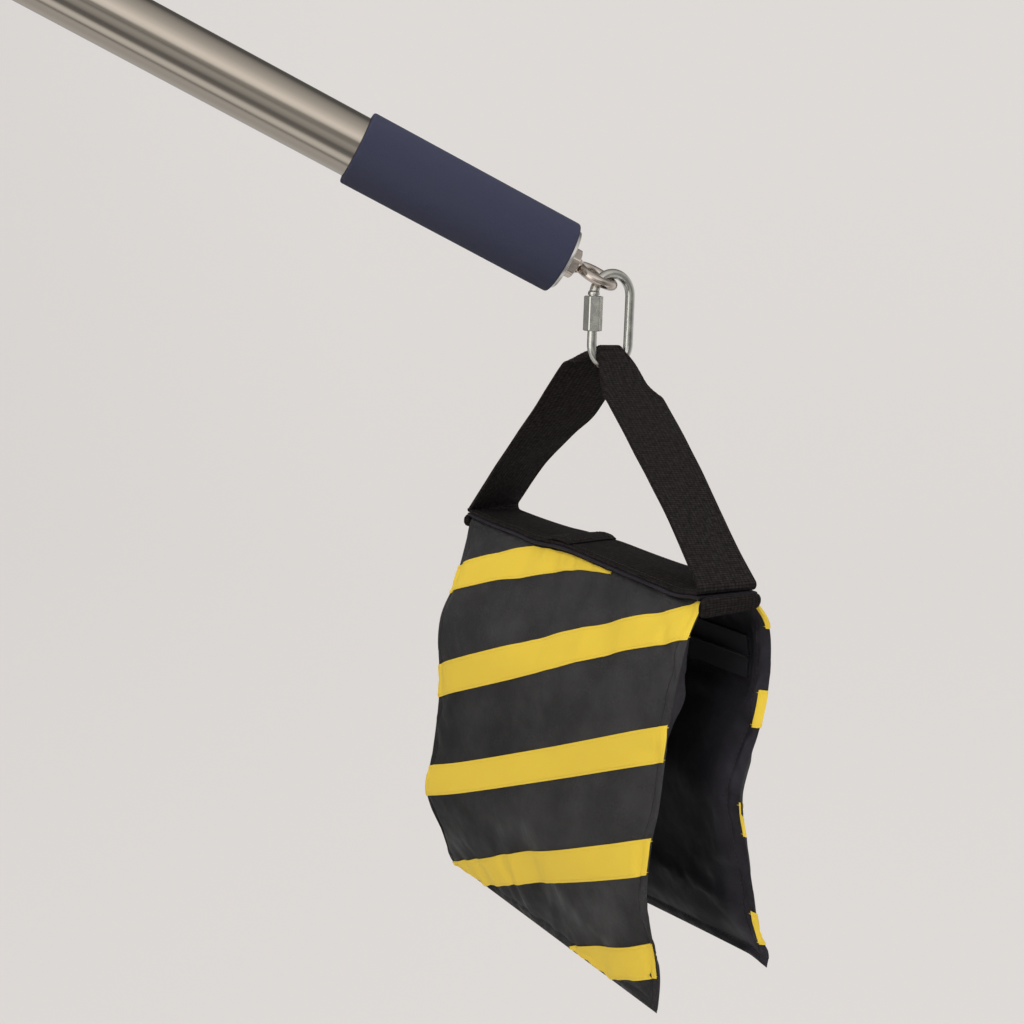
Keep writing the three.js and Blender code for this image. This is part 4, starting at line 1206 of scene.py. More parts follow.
class ButtFittings(Step, bpy.types.Operator):
    """Makes the end plug, the eye and its nuts."""

    bl_idname = "boom_arm.butt_fittings"
    bl_label = "Plug and Eye"

    def build(self):
        sizes = boom()
        butt = sizes.butt_reach
        radius = sizes.tube_diameter / 2
        inner = radius - sizes.tube_wall - SEAT_GAP
        nut_bore = EYE_SHANK_RADIUS + SEAT_GAP
        plug_bore = EYE_SHANK_RADIUS + PLUG_PLAY + SEAT_GAP
        plug_from = butt - PLUG_LENGTH
        flange_from = butt + SEAT_GAP
        flange_to = flange_from + PLUG_FLANGE
        plug = sleeve("butt_plug", [
            (plug_from, plug_bore), (plug_from, inner), (flange_from, inner),
            (flange_from, radius), (flange_to, radius), (flange_to, plug_bore),
        ], 0.4 * MM, finish(turned_aluminium), BOOM, FINE_COLUMNS)
        fitted(plug, "boom", "plug", "end_plug")

        nickel = finish(bright_nickel)
        nut_from = butt + PLUG_FLANGE + 2 * SEAT_GAP
        nut_to = nut_from + EYE_NUT_THICKNESS
        nut = hexagon(
            "eye_hex_nut", EYE_NUT_FLATS, nut_from, nut_to, nickel, EYE, nut_bore, turn_share=0.5,
        )
        fitted(nut, "boom", "zinc", "eye_nut")
        lock_to = plug_from - SEAT_GAP
        lock_from = lock_to - LOCK_NUT_THICKNESS
        lock = hexagon(
            "inner_lock_nut", EYE_NUT_FLATS, lock_from, lock_to, finish(bright_zinc), BOOM,
            nut_bore,
        )
        fitted(lock, "boom", "zinc", "lock_nut")

        wire = sizes.eye_wire / 2
        centre = nut_to + SEAT_GAP + wire + sizes.eye_radius
        shank = rod("eye_shank", [
            (lock_from - EYE_SHANK_TAIL, EYE_SHANK_RADIUS), (nut_to + MM, EYE_SHANK_RADIUS),
            (centre - sizes.eye_radius + MM, wire),
        ], 0.6 * MM, nickel, EYE)
        route = [(centre + x, y, 0) for x, y in circle(sizes.eye_radius, 96)]
        ring = swept("eye_ring", route, circle(wire, 24), nickel, EYE, closed=True)
        fitted(fused("ring_eye", [shank, ring], nickel, 0.42 * MM), "boom", "zinc", "eye_bolt")


class QuickLink(Step, bpy.types.Operator):
    """Makes the quick link's wire and its hexagonal screw sleeve."""

    bl_idname = "boom_arm.quick_link"
    bl_label = "Quick Link"

    def build(self):
        sizes = boom()
        wire = sizes.link_wire / 2
        bend = (sizes.link_width - sizes.link_wire) / 2
        straight = sizes.link_length - sizes.link_width
        shoulder = sizes.eye_wire / 2 + LINK_PLAY + wire - bend
        zinc = finish(bright_zinc)
        bend_steps = 28
        gap_top = shoulder - LINK_GAP_BELOW_BEND
        gap_bottom = gap_top - LINK_GAP
        route = [(0, -bend, gap_top)]
        for centre, first in ((shoulder, 1), (shoulder - straight, 0)):
            for i in range(bend_steps + 1):
                turn = math.pi * (first - i / bend_steps)
                route.append((0, bend * math.cos(turn), centre + bend * math.sin(turn)))
        route.append((0, -bend, gap_bottom))
        body = swept("link_wire_body", route, circle(wire, 28), zinc, LINK)
        screw_axis = turned_about(moved(LINK, 0, -bend, 0), "Y", math.radians(-90))
        lip_from = shoulder + 0.5 * MM
        lip_to = shoulder + 2.4 * MM
        lip = sleeve("link_lip", [
            (lip_from, wire - 0.6 * MM), (lip_from, wire + 0.75 * MM),
            (lip_to, wire + 0.55 * MM), (lip_to + 1.2 * MM, wire - 0.6 * MM),
        ], 0.3 * MM, zinc, screw_axis, SMALL_COLUMNS)
        threads = [
            grown(
                "link_thread", thread_tree, zinc, screw_axis, Turns=length / MM,
                Radius=wire - 0.02 * MM, Start=start, Length=length, Depth=0.12 * MM,
            )
            for start, length in ((gap_top, LINK_GAP_BELOW_BEND), (gap_bottom - 9 * MM, 9 * MM))
        ]
        link = joined("link_body", [body, lip, *threads], zinc)
        fitted(link, "link", "zinc", "link_wire")
        screw = hexagon(
            "link_hex_sleeve", SLEEVE_FLATS, shoulder - SLEEVE_LENGTH, shoulder, zinc, screw_axis,
            wire + SLEEVE_PLAY, 96, 0.44,
        )
        fitted(screw, "link_screw", "zinc", "link_sleeve")


# Webbing and spine


def clamped(value):
    return min(1.0, max(0.0, value))


def smooth_step(share):
    share = clamped(share)
    return share * share * (3 - 2 * share)


def table_at(rows, place):
    """The numbers that a table holds at a place, read smoothly between its rows."""
    last = len(rows) - 1
    k = 0
    while k < last - 1 and place > rows[k + 1][0]:
        k += 1
    here, there = rows[k], rows[k + 1]
    before, after = rows[max(k - 1, 0)], rows[min(k + 2, last)]
    step = there[0] - here[0]
    t = clamped((place - here[0]) / step)
    result = []
    for i in range(1, len(here)):
        start = (there[i] - before[i]) / (there[0] - before[0]) * step
        stop = (after[i] - here[i]) / (after[0] - here[0]) * step
        result.append(
            here[i] * (2 * t ** 3 - 3 * t ** 2 + 1) + start * (t ** 3 - 2 * t ** 2 + t)
            + there[i] * (3 * t ** 2 - 2 * t ** 3) + stop * (t ** 3 - t ** 2)
        )
    return result


def spine_half():
    return bag().pouch_width / 2


def sinks_at(x):
    """How much lower the spine's middle, front edge and back edge lie."""
    return [value * MM for value in table_at(SPINE_SINKS, x / MM)]


def sink_at(x, y):
    middle, front, back = sinks_at(x)
    across = (y - SPINE_SHIFT) / (bag().webbing_width / 2)
    if across < 0:
        return middle + (front - middle) * smooth_step(-across)
    return middle + (back - middle) * across ** 2


def under_thickness(x):
    """Thickness of the strap's hidden lower end, which is pressed thin under the upper one."""
    hidden_end = BAG_OFFSET + OVERLAP_END - OVERLAP_HIDDEN
    return bag().webbing_thickness * smooth_step((x - hidden_end) / OVERLAP_TAPER)


def overlap_lie(back):
    """The strap's upper end, some way back from it: its share of full thickness and how far it
    bulges up."""
    share = 0.5 + 0.5 * smooth_step(back / OVERLAP_FADE)
    bulge = OVERLAP_BULGE * math.sin(math.pi * min(1.0, back / OVERLAP_BULGE_LENGTH))
    return share, bulge


@dataclass
class Station:
    """A place along the strap: where its middle is and how its section lies there."""

    x: float
    z: float
    shift: float
    half_width: float
    twist: float = 0.0
    lying: float = 1.0
    thickness: float = 1.0
    slant: float = 0.0

    def ring(self, heading):
        """The section's points, with its outer face turned away from the loop."""
        outward = heading + math.pi / 2
        points = []
        for across, out in webbing_section(self.half_width, self.thickness):
            a = across * math.cos(self.twist) + out * math.sin(self.twist)
            o = out * math.cos(self.twist) - across * math.sin(self.twist)
            x = self.x + o * math.cos(outward) - self.slant * a
            y = self.shift + a
            z = self.z + o * math.sin(outward)
            if self.lying:
                z -= self.lying * (sink_at(x, y) - sinks_at(self.x)[0])
            points.append((x, y, z))
        return points


def leg_stations(side):
    """The fold at the spine's end and one leg of the handle up to the link."""
    half = bag().webbing_thickness / 2
    corner = Vector((spine_half() + side * BAG_OFFSET, SPINE_HEIGHT + 2 * half))
    along = (LEG_CREST - corner).normalized()
    outward = Vector((along.y, -along.x))
    crest = Vector((0, CREST_HEIGHT))
    rows = LEGS[side]
    _, _, foot_stand, _ = table_at(rows, 0)
    fold_height = SPINE_HEIGHT + half + FOLD_RADIUS - sinks_at(side * corner.x)[0]
    reach = outward.dot(corner) + foot_stand * MM - FOLD_RADIUS
    fold = Vector(((reach - outward.y * fold_height) / outward.x, fold_height))
    stations = []
    shift, width, _, twist = table_at(rows, 0)
    last_turn = math.atan2(outward.y, outward.x)
    fold_steps = 12
    for i in range(fold_steps):
        share = i / fold_steps
        turn = -math.pi / 2 + share * (last_turn + math.pi / 2)
        point = fold + Vector((math.cos(turn), math.sin(turn))) * FOLD_RADIUS
        stations.append(Station(
            side * point.x, point.y, shift * MM, width * MM, twist * smooth_step(share),
            1 - smooth_step(share),
        ))
    start = (fold - corner).dot(along)
    stop = (crest - corner).dot(along)
    steps = 72
    for i in range(steps + 1):
        up = start + (stop - start) * i / steps
        shift, width, stand, twist = table_at(rows, up / stop)
        point = corner + along * up + outward * stand * MM
        free = math.sin(math.pi * i / steps)
        shift += 0.3 * free * noise.noise(Vector((up * 55, side * 7, 0)))
        width += 0.25 * free * noise.noise(Vector((up * 80, side * 7, 5)))
        stations.append(Station(side * point.x, point.y, shift * MM, width * MM, twist, 0.0))
    return stations


def strap_stations():
    """The strap from its upper end at mid spine, round the handle, to its hidden lower end."""
    thickness = bag().webbing_thickness
    full = bag().webbing_width / 2
    top_end = BAG_OFFSET + OVERLAP_END
    hidden_end = top_end - OVERLAP_HIDDEN
    far = leg_stations(-1)
    near = leg_stations(1)[::-1]
    stations = []
    steps = 60
    for k in range(steps):
        x = top_end + (far[0].x - top_end) * k / steps
        share, bulge = overlap_lie(top_end - x)
        z = SPINE_HEIGHT + under_thickness(x) + share * thickness / 2 + bulge - sinks_at(x)[0]
        slant = OVERLAP_SLANT * (1 - smooth_step((top_end - x) / (35 * MM)))
        stations.append(Station(x, z, SPINE_SHIFT, full, thickness=share, slant=slant))
    stations += far
    start = math.atan2(far[-1].z - CREST_HEIGHT, far[-1].x)
    stop = math.atan2(near[0].z - CREST_HEIGHT, near[0].x)
    over = 14
    for i in range(1, over):
        turn = start + (stop - start) * i / over
        stations.append(Station(
            CREST_RADIUS * math.cos(turn), CREST_HEIGHT + CREST_RADIUS * math.sin(turn),
            (-0.3 - 0.9 * i / over) * MM, CREST_HALF_WIDTH, 0.0, 0.0,
        ))
    stations += near
    for k in range(1, steps + 1):
        x = near[-1].x + (hidden_end - near[-1].x) * k / steps
        share = max(under_thickness(x) / thickness, 0.1)
        z = SPINE_HEIGHT + share * thickness / 2 - sinks_at(x)[0]
        stations.append(Station(x, z, SPINE_SHIFT, full, thickness=share))
    return stations


def webbing_section(half_width, thinned=1.0):
    """Across the webbing: flat, with its edges folded under where it is drawn narrower."""
    full = bag().webbing_width / 2
    thickness = bag().webbing_thickness / 2 * thinned
    folded = smooth_step((full - half_width) / (3 * MM))
    flat = half_width - EDGE_FOLD_RADIUS - thickness * folded
    steps = 26
    step = full / steps
    across = 0.0
    out = 0.0
    turn = 0.0
    inner = [(0.0, -thickness)]
    outer = [(0.0, thickness)]
    for i in range(1, steps + 1):
        turn = max(0.0, min(math.pi, folded * (i * step - flat) / EDGE_FOLD_RADIUS))
        across += step * math.cos(turn)
        out -= step * math.sin(turn)
        side = (thickness * math.sin(turn), thickness * math.cos(turn))
        inner.append((across - side[0], out - side[1]))
        outer.append((across + side[0], out + side[1]))
    edge = (across + 0.4 * MM * math.cos(turn), out - 0.4 * MM * math.sin(turn))
    right = [*inner, edge, *outer[::-1]]
    left = [(-x, y) for x, y in right[1:-1]][::-1]
    return [*right, *left]


class HandleWebbing(Step, bpy.types.Operator):
    """Makes the webbing that is the handle and the strap along the spine."""

    bl_idname = "boom_arm.handle_webbing"
    bl_label = "Handle Webbing"

    def build(self):
        line = strap_stations()
        rings = []
        for k, station in enumerate(line):
            before = line[max(k - 1, 0)]
            after = line[min(k + 1, len(line) - 1)]
            rings.append(station.ring(math.atan2(after.z - before.z, after.x - before.x)))
        us = distances([(station.x, 0, station.z) for station in line], False)
        flat = webbing_section(bag().webbing_width / 2)
        vs = distances([(x, y, 0) for x, y in flat], True)
        piece = skin(
            "handle_strap", rings, finish(ribbed_webbing), BAG, caps=True,
            angle=CLOTH_ANGLE, uvs=(us, vs),
        )
        fitted(piece, "bag_top", "webbing", "handle_webbing")


def lining_top():
    return SPINE_HEIGHT - SEAT_GAP


def pouch_top():
    return lining_top() - LINING_THICKNESS - CLOTH_GAP


class SpineLining(Step, bpy.types.Operator):
    """Makes the strip under the webbing, its rims and its rolled ends."""

    bl_idname = "boom_arm.spine_lining"
    bl_label = "Spine Lining"

    def build(self):
        cloth = finish(lining_nylon)
        top = lining_top()
        rows = 90
        columns = 20
        half = spine_half()
        edge = LINING_WIDTH / 2 - RIM_RADIUS
        xs = [BAG_OFFSET - half + 2 * half * k / rows for k in range(rows + 1)]
        rings = []
        for x in xs:
            places = [SPINE_SHIFT - edge + 2 * edge * i / columns for i in range(columns + 1)]
            upper = [(x, y, top - sink_at(x, y)) for y in places]
            lower = [(x, y, z - LINING_THICKNESS) for x, y, z in upper]
            rings.append([*upper, *lower[::-1]])
        parts = [skin("lining_strip", rings, cloth, BAG, caps=True)]
        for side in (-1, 1):
            route = []
            for x in xs:
                wave = noise.noise(Vector((x * 60, side, 0))) * 0.3 * MM
                y = SPINE_SHIFT + side * (LINING_WIDTH / 2 - RIM_RADIUS + wave)
                route.append((x, y, top - RIM_RADIUS - sink_at(x, y)))
            parts.append(swept("lining_rim", route, circle(RIM_RADIUS, 12), cloth, BAG))
        fitted(joined("spine_strip", parts, cloth), "bag_top", "nylon", "spine_lining")

        web = finish(rolled_webbing)
        ends = joined("rolled_hems", [self.rolled_hem(-1, web), self.rolled_hem(1, web)], web)
        fitted(ends, "bag_top", "webbing")

    def rolled_hem(self, side, material):
        """A flattened roll of webbing across the spine's end, drawn in where it is sewn shut."""
        centre = BAG_OFFSET + side * (spine_half() + SEAT_GAP + HEM_THICKNESS / 2)
        steps = 40
        half_width = LINING_WIDTH / 2
        rings = []
        for k in range(steps + 1):
            across = -1 + 2 * k / steps
            height = HEM_HEIGHT * (1.22 - 0.17 * across if side > 0 else 1.0)
            pinch = 1 - 0.5 * abs(across) ** 16
            y = SPINE_SHIFT + across * half_width
            top = lining_top() - sinks_at(centre)[0]
            bend = noise.noise(Vector((across * 1.6, side * 3, 0))) * 0.5 * MM
            ring = []
            for cosine, sine in circle(1, 32):
                x = cosine * HEM_THICKNESS / 2 * pinch
                z = math.copysign(abs(sine) ** 0.85, sine) * height / 2 * pinch
                ring.append((centre + x + bend, y, top - height / 2 + z))
            rings.append(ring)
        piece = skin("hem", rings, material, BAG, caps=True, angle=math.radians(60))
        for entry in piece.data.uv_layers[0].data:
            entry.uv = (entry.uv[1], entry.uv[0])
        return piece


# Pouches


def pouch_drop(half):
    return bag().front_drop if half == "front" else bag().back_drop


def pouch_point(half, along, down):
    """A point of a pouch's outer face; along runs far to near and down from top to bottom."""
    pouch = POUCHES[half]
    width = bag().pouch_width
    x = BAG_OFFSET + (along - 0.5) * (width - 2 * SEAT_GAP)
    _, front, back = sinks_at(x)
    lift, = table_at(pouch["lift"], along)
    drop = down * (pouch_drop(half) - lift * MM)
    held = max(0.0, 1 - drop / (70 * MM)) ** 2
    drop += (front if pouch["side"] < 0 else back) * held
    near, = table_at(pouch["near"], drop / MM)
    far, = table_at(pouch["far"], drop / MM)
    return Vector((x, pouch["side"] * (far + (near - far) * along) * MM, pouch_top() - drop))


def zip_stand(half, depth):
    """How far from the middle the inner cloth lies behind the zip."""
    return table_at(POUCHES[half]["zip"], depth / MM)[0] * MM


def spaced(length, step, margin):
    """Shares of a length at an even step, closer together near both ends."""
    fine = [0.0, 0.18, 0.45, 0.72, 0.9]
    start = [margin * value for value in fine]
    middle_count = max(2, round((length - 2 * margin) / step))
    middle = [margin + (length - 2 * margin) * k / middle_count for k in range(middle_count + 1)]
    end = [length - value for value in start[::-1]]
    return [value / length for value in [*start, *middle, *end]]


def doubled(values):
    """A row of numbers or points with one more between each two, on a smooth curve."""
    last = len(values) - 1
    result = [values[0]]
    for k in range(last):
        here, there = values[k], values[k + 1]
        middle = (here + there) / 2
        if 0 < k < last - 1:
            middle = middle * 1.125 - (values[k - 1] + values[k + 2]) / 16
        result += [middle, there]
    return result


class PouchCloth:
    """The two cloths of a pouch as one closed mesh that keeps its grid, so that what is sewn
    on it can be laid along it."""

    GRID_STEP = 4.6 * MM
    EDGE_MARGIN = 6 * MM
    SEAM_LOBE = 2.6 * MM
    HEM_RISE = 20 * MM
    FADE = 60 * MM
    ZIP_FADE_DOWN = 26 * MM
    ZIP_FADE_ALONG = 14 * MM
    GROOVE_DEPTH = 0.5 * MM
    GROOVE_WIDTH = 1.1 * MM
    MOST_SUNK = 0.35
    SETTLE_FRAMES = 24
    SETTLE_REACH = 4.5 * MM

    def __init__(self, half):
        self.half = half
        self.side = POUCHES[half]["side"]
        self.outward = BAG.to_3x3() @ Vector((0, self.side, 0))
        self.width = bag().pouch_width
        self.drop = pouch_drop(half)
        self.across = spaced(self.width, self.GRID_STEP, self.EDGE_MARGIN)
        self.downs = spaced(self.drop, self.GRID_STEP, self.EDGE_MARGIN)
        self.columns = len(self.across)
        self.rows = len(self.downs)
        self.places = self.laid_out()

    def is_seam(self, i, j):
        return i in (0, self.columns - 1) or j in (0, self.rows - 1)

    def outer_index(self, i, j):
        return j * self.columns + i

    def inner_index(self, i, j):
        if self.is_seam(i, j):
            return self.outer_index(i, j)
        first = self.columns * self.rows
        return first + (j - 1) * (self.columns - 2) + (i - 1)

    def fullness(self, i, j):
        """How open the pouch is at a point, from 0 at its seams to 1."""
        edge_x = min(self.across[i], 1 - self.across[i]) * self.width
        edge_z = min(self.downs[j], 1 - self.downs[j]) * self.drop

        def opened(edge):
            share = min(1.0, edge / self.SEAM_LOBE)
            return math.sqrt(max(0.0, 1 - (1 - share) ** 2))

        return opened(edge_x) * opened(edge_z)

    def thickness(self, i, j):
        """How far apart the two cloths lie before they settle."""
        def fade(share):
            return 1 - abs(2 * share - 1) ** 8

        sizes = bag()
        puff = sizes.puff * fade(self.across[i]) * fade(self.downs[j])
        reach, rows = POUCHES[self.half]["roll"]
        roll, = table_at(rows, self.downs[j] * self.drop / MM)
        from_edge = (1 - self.across[i]) * self.width
        risen = math.sqrt(1 - (1 - min(1.0, from_edge / (reach * MM))) ** 2)
        roll *= MM * risen * (1 - smooth_step((from_edge - reach * MM) / self.FADE))
        up = (1 - self.downs[j]) * self.drop
        hem = POUCHES[self.half]["hem"] * MM * smooth_step(up / self.HEM_RISE)
        hem *= (1 - smooth_step((up - self.HEM_RISE) / self.FADE)) * risen
        return (sizes.seam_thickness + puff) * self.fullness(i, j) + max(roll, hem)

    def zip_hold(self, i, j):
        """How much the zip holds the inner cloth at a point, from 0 to 1."""
        off = abs(self.downs[j] * self.drop - ZIP_DROP) - ZIP_TAPE_WIDTH / 2
        end = abs(self.across[i] - 0.5) * self.width - ZIP_TAPE_LENGTH / 2
        held = 1 - smooth_step(off / self.ZIP_FADE_DOWN)
        return held * (1 - smooth_step(end / self.ZIP_FADE_ALONG))

    def laid_out(self):
        """The points of both cloths before they settle."""
        outer = []
        inner = []
        seam_depth = bag().seam_thickness / 2
        for j in range(self.rows):
            for i in range(self.columns):
                face = pouch_point(self.half, self.across[i], self.downs[j])
                middle = face - Vector((0, self.side * seam_depth, 0))
                open_share = self.fullness(i, j)
                outer.append(middle.lerp(face, open_share))
                if not self.is_seam(i, j):
                    depth = self.thickness(i, j) - seam_depth * open_share
                    inside = middle - Vector((0, self.side * depth, 0))
                    held = self.zip_hold(i, j)
                    at_zip = self.side * zip_stand(self.half, pouch_top() - inside.z)
                    inside.y += (at_zip - inside.y) * held
                    inner.append(inside)
        return [BAG @ point for point in (*outer, *inner)]

    def build(self, name):
        """The two cloths as one closed mesh."""
        faces = []
        uvs = []
        for index, shift in ((self.outer_index, 0.0), (self.inner_index, self.width + 20 * MM)):
            for j in range(self.rows - 1):
                for i in range(self.columns - 1):
                    cells = ((i, j), (i + 1, j), (i + 1, j + 1), (i, j + 1))
                    faces.append(tuple(index(*cell) for cell in cells))
                    uvs += [
                        (self.across[a] * self.width + shift, self.downs[b] * self.drop)
                        for a, b in cells
                    ]
        mesh = mapped_mesh(name, self.places, faces, uvs)
        mesh.materials.append(finish(oxford_nylon))
        mesh.materials.append(finish(lining_nylon))
        for k, polygon in enumerate(mesh.polygons):
            polygon.material_index = 0 if k < len(faces) // 2 else 1
        return object_of(name, mesh)

    def simulate(self):
        """Lets the cloth settle: its seams are held, and a little air and slack pucker it."""
        piece = self.build(self.half + "_settling")
        start = self.places
        seam = piece.vertex_groups.new(name="seam")
        cells = [(i, j) for j in range(self.rows) for i in range(self.columns)]
        held = [self.outer_index(i, j) for i, j in cells if self.is_seam(i, j)]
        held += [self.inner_index(i, j) for i, j in cells if self.zip_hold(i, j) > 0.95]
        seam.add(held, 1.0, "REPLACE")
        cloth = piece.modifiers.new("Settle", "CLOTH")
        assigned(
            cloth.settings, quality=7, mass=0.2, tension_stiffness=20, compression_stiffness=12,
            shear_stiffness=6, bending_stiffness=0.35, use_pressure=True,
            uniform_pressure_force=1.4, shrink_min=-0.012, vertex_group_mass="seam",
        )
        cloth.settings.effector_weights.gravity = 0
        assigned(cloth.point_cache, frame_start=1, frame_end=self.SETTLE_FRAMES)
        scene = bpy.context.scene
        for number in range(1, self.SETTLE_FRAMES + 1):
            scene.frame_set(number)
        graph = bpy.context.evaluated_depsgraph_get()
        settled = piece.evaluated_get(graph).data
        reach = self.SETTLE_REACH
        ends = []
        for rest, vertex in zip(start, settled.vertices):
            shift = vertex.co - rest
            length = shift.length
            kept = math.tanh(length / reach) * reach / length if length else 0
            ends.append(rest + shift * kept)
        piece.modifiers.clear()
        scene.frame_set(1)
        bpy.data.objects.remove(piece, do_unlink=True)
        self.places = ends
        self.part(start)

    def inside(self):
        """The grid off its seams: column, row and the two cloths' places in the mesh."""
        for j in range(1, self.rows - 1):
            for i in range(1, self.columns - 1):
                yield i, j, self.outer_index(i, j), self.inner_index(i, j)

    def part(self, start):
        """Keeps the two cloths from passing through each other."""
        for i, j, outer, inner in self.inside():
            least = 0.5 * (start[outer] - start[inner]).dot(self.outward)
            apart = (self.places[outer] - self.places[inner]).dot(self.outward)
            if apart < least:
                share = 1.0 if self.zip_hold(i, j) > 0.5 else 0.5
                push = self.outward * (least - apart)
                self.places[outer] = self.places[outer] + push * share
                self.places[inner] = self.places[inner] - push * (1 - share)

    def refine(self):
        """Halves the grid's step, with the new points on smooth curves through the old ones."""
        grids = []
        for index in (self.outer_index, self.inner_index):
            rows = [
                doubled([self.places[index(i, j)] for i in range(self.columns)])
                for j in range(self.rows)
            ]
            columns = [doubled(list(column)) for column in zip(*rows)]
            grids.append([list(row) for row in zip(*columns)])
        self.across = doubled(self.across)
        self.downs = doubled(self.downs)
        self.columns = len(self.across)
        self.rows = len(self.downs)
        outer = [point for row in grids[0] for point in row]
        inner = [point for row in grids[1][1:-1] for point in row[1:-1]]
        self.places = [*outer, *inner]

    def crease(self):
        """Puts in the larger creases, the folds of the inner cloth and the stitched groove."""
        pouch = POUCHES[self.half]
        for i, j, outer, inner in self.inside():
            x, z = self.across[i] * self.width, self.downs[j] * self.drop
            edge = min(x, self.width - x, self.drop - z)
            full = smooth_step((min(edge, z) - 1 * MM) / (7 * MM))
            off = (edge - SEAM_INSET) / self.GROOVE_WIDTH
            groove = self.GROOVE_DEPTH * math.exp(-off ** 2)
            apart = (self.places[outer] - self.places[inner]).dot(self.outward)
            least = -self.MOST_SUNK * apart
            lift = sum(self.ridge(crease, x, z) for crease in pouch["creases"]) * full
            self.places[outer] = self.places[outer] + self.outward * max(lift - groove, least)
            free = 1 - self.zip_hold(i, j)
            sunk = sum(self.fold(fold, x, z) for fold in pouch["folds"]) * full * free
            sunk = max(sunk - groove * free, least)
            self.places[inner] = self.places[inner] - self.outward * sunk

    def ridge(self, crease, x, z):
        width, height, *points = crease
        near, share, _ = self.nearest(points, x, z)
        taper = math.sin(math.pi * clamped(0.08 + 0.84 * share)) ** 0.6
        return height * MM * taper * math.exp(-(near / (width * MM)) ** 2)

    def fold(self, crease, x, z):
        width, height, *points = crease
        near, share, above = self.nearest(points, x, z)
        width *= MM
        taper = smooth_step(share / 0.5)
        valley = math.exp(-(near / width) ** 2)
        over = math.exp(-((near * above - 1.9 * width) / (1.6 * width)) ** 2)
        return height * MM * taper * (0.8 * over - valley)

    def nearest(self, points, x, z):
        """Distance to a broken line, how far along it, and 1 above it or -1 below."""
        best = (1.0, 0.0, 1)
        spots = [(a * self.width, d * self.drop) for a, d in points]
        count = len(spots) - 1
        for k in range(count):
            (ax, az), (bx, bz) = spots[k], spots[k + 1]
            length = (bx - ax) ** 2 + (bz - az) ** 2
            t = clamped(((x - ax) * (bx - ax) + (z - az) * (bz - az)) / length)
            off = math.hypot(x - ax - t * (bx - ax), z - az - t * (bz - az))
            if off < best[0]:
                best = (off, (k + t) / count, 1 if z < az + t * (bz - az) else -1)
        return best

    def surface(self, along, down, inner=False):
        """A point of the settled cloth and its outward direction."""
        index = self.inner_index if inner else self.outer_index
        i, s = self.cell(self.across, along)
        j, t = self.cell(self.downs, down)
        a = self.places[index(i, j)]
        b = self.places[index(i + 1, j)]
        c = self.places[index(i, j + 1)]
        d = self.places[index(i + 1, j + 1)]
        spot = a.lerp(b, s).lerp(c.lerp(d, s), t)
        across = (b - a).lerp(d - c, t)
        below = (c - a).lerp(d - b, s)
        outward = across.cross(below)
        wanted = -self.outward if inner else self.outward
        if outward.dot(wanted) < 0:
            outward.negate()
        if outward.length < 1e-12:
            outward = wanted
        return spot, outward.normalized()

    @staticmethod
    def cell(stops, share):
        """The grid's step that holds a share, and how far through that step it lies."""
        k = 0
        while k < len(stops) - 2 and share > stops[k + 1]:
            k += 1
        return k, clamped((share - stops[k]) / (stops[k + 1] - stops[k]))


# The cloth of each pouch once it is made, for what is sewn on it
CLOTHS = {}


class Pouches(Step, bpy.types.Operator):
    """Makes the two flat pouches and lets their cloth settle."""

    bl_idname = "boom_arm.pouches"
    bl_label = "Pouches"

    def build(self):
        for half in POUCHES:
            cloth = PouchCloth(half)
            cloth.simulate()
            cloth.refine()
            cloth.crease()
            CLOTHS[half] = cloth
            self.sew_lines(cloth, half)
            piece = cloth.build(half + "_saddle_pouch")
            smoothed(piece.data, math.radians(75))
            hung(piece, half, "nylon", half + "_pouch")

    def sew_lines(self, cloth, half):
        """Black top stitching along the seams, inside and out."""
        steps = 90

        def line(inner, margin, along=None, down=None):
            spots = []
            for k in range(steps + 1):
                share = margin + (1 - 2 * margin) * k / steps
                point, outward = cloth.surface(along or share, down or share, inner)
                spots.append(point + outward * 0.1 * MM)
            return spots

        side = SEAM_INSET / cloth.width
        lines = []
        for inner in (False, True):
            lines += [line(inner, 0.03, along=along) for along in (side, 1 - side)]
            lines.append(line(inner, 0.025, down=1 - SEAM_INSET / cloth.drop))
        for off in (-11 * MM, 11 * MM, 18 * MM):
            lines.append(line(True, 0.03, down=(ZIP_DROP + off) / cloth.drop))
        seams = stitched(half + "_seam_stitches", lines, finish(black_thread))
        hung(seams, half, "nylon")


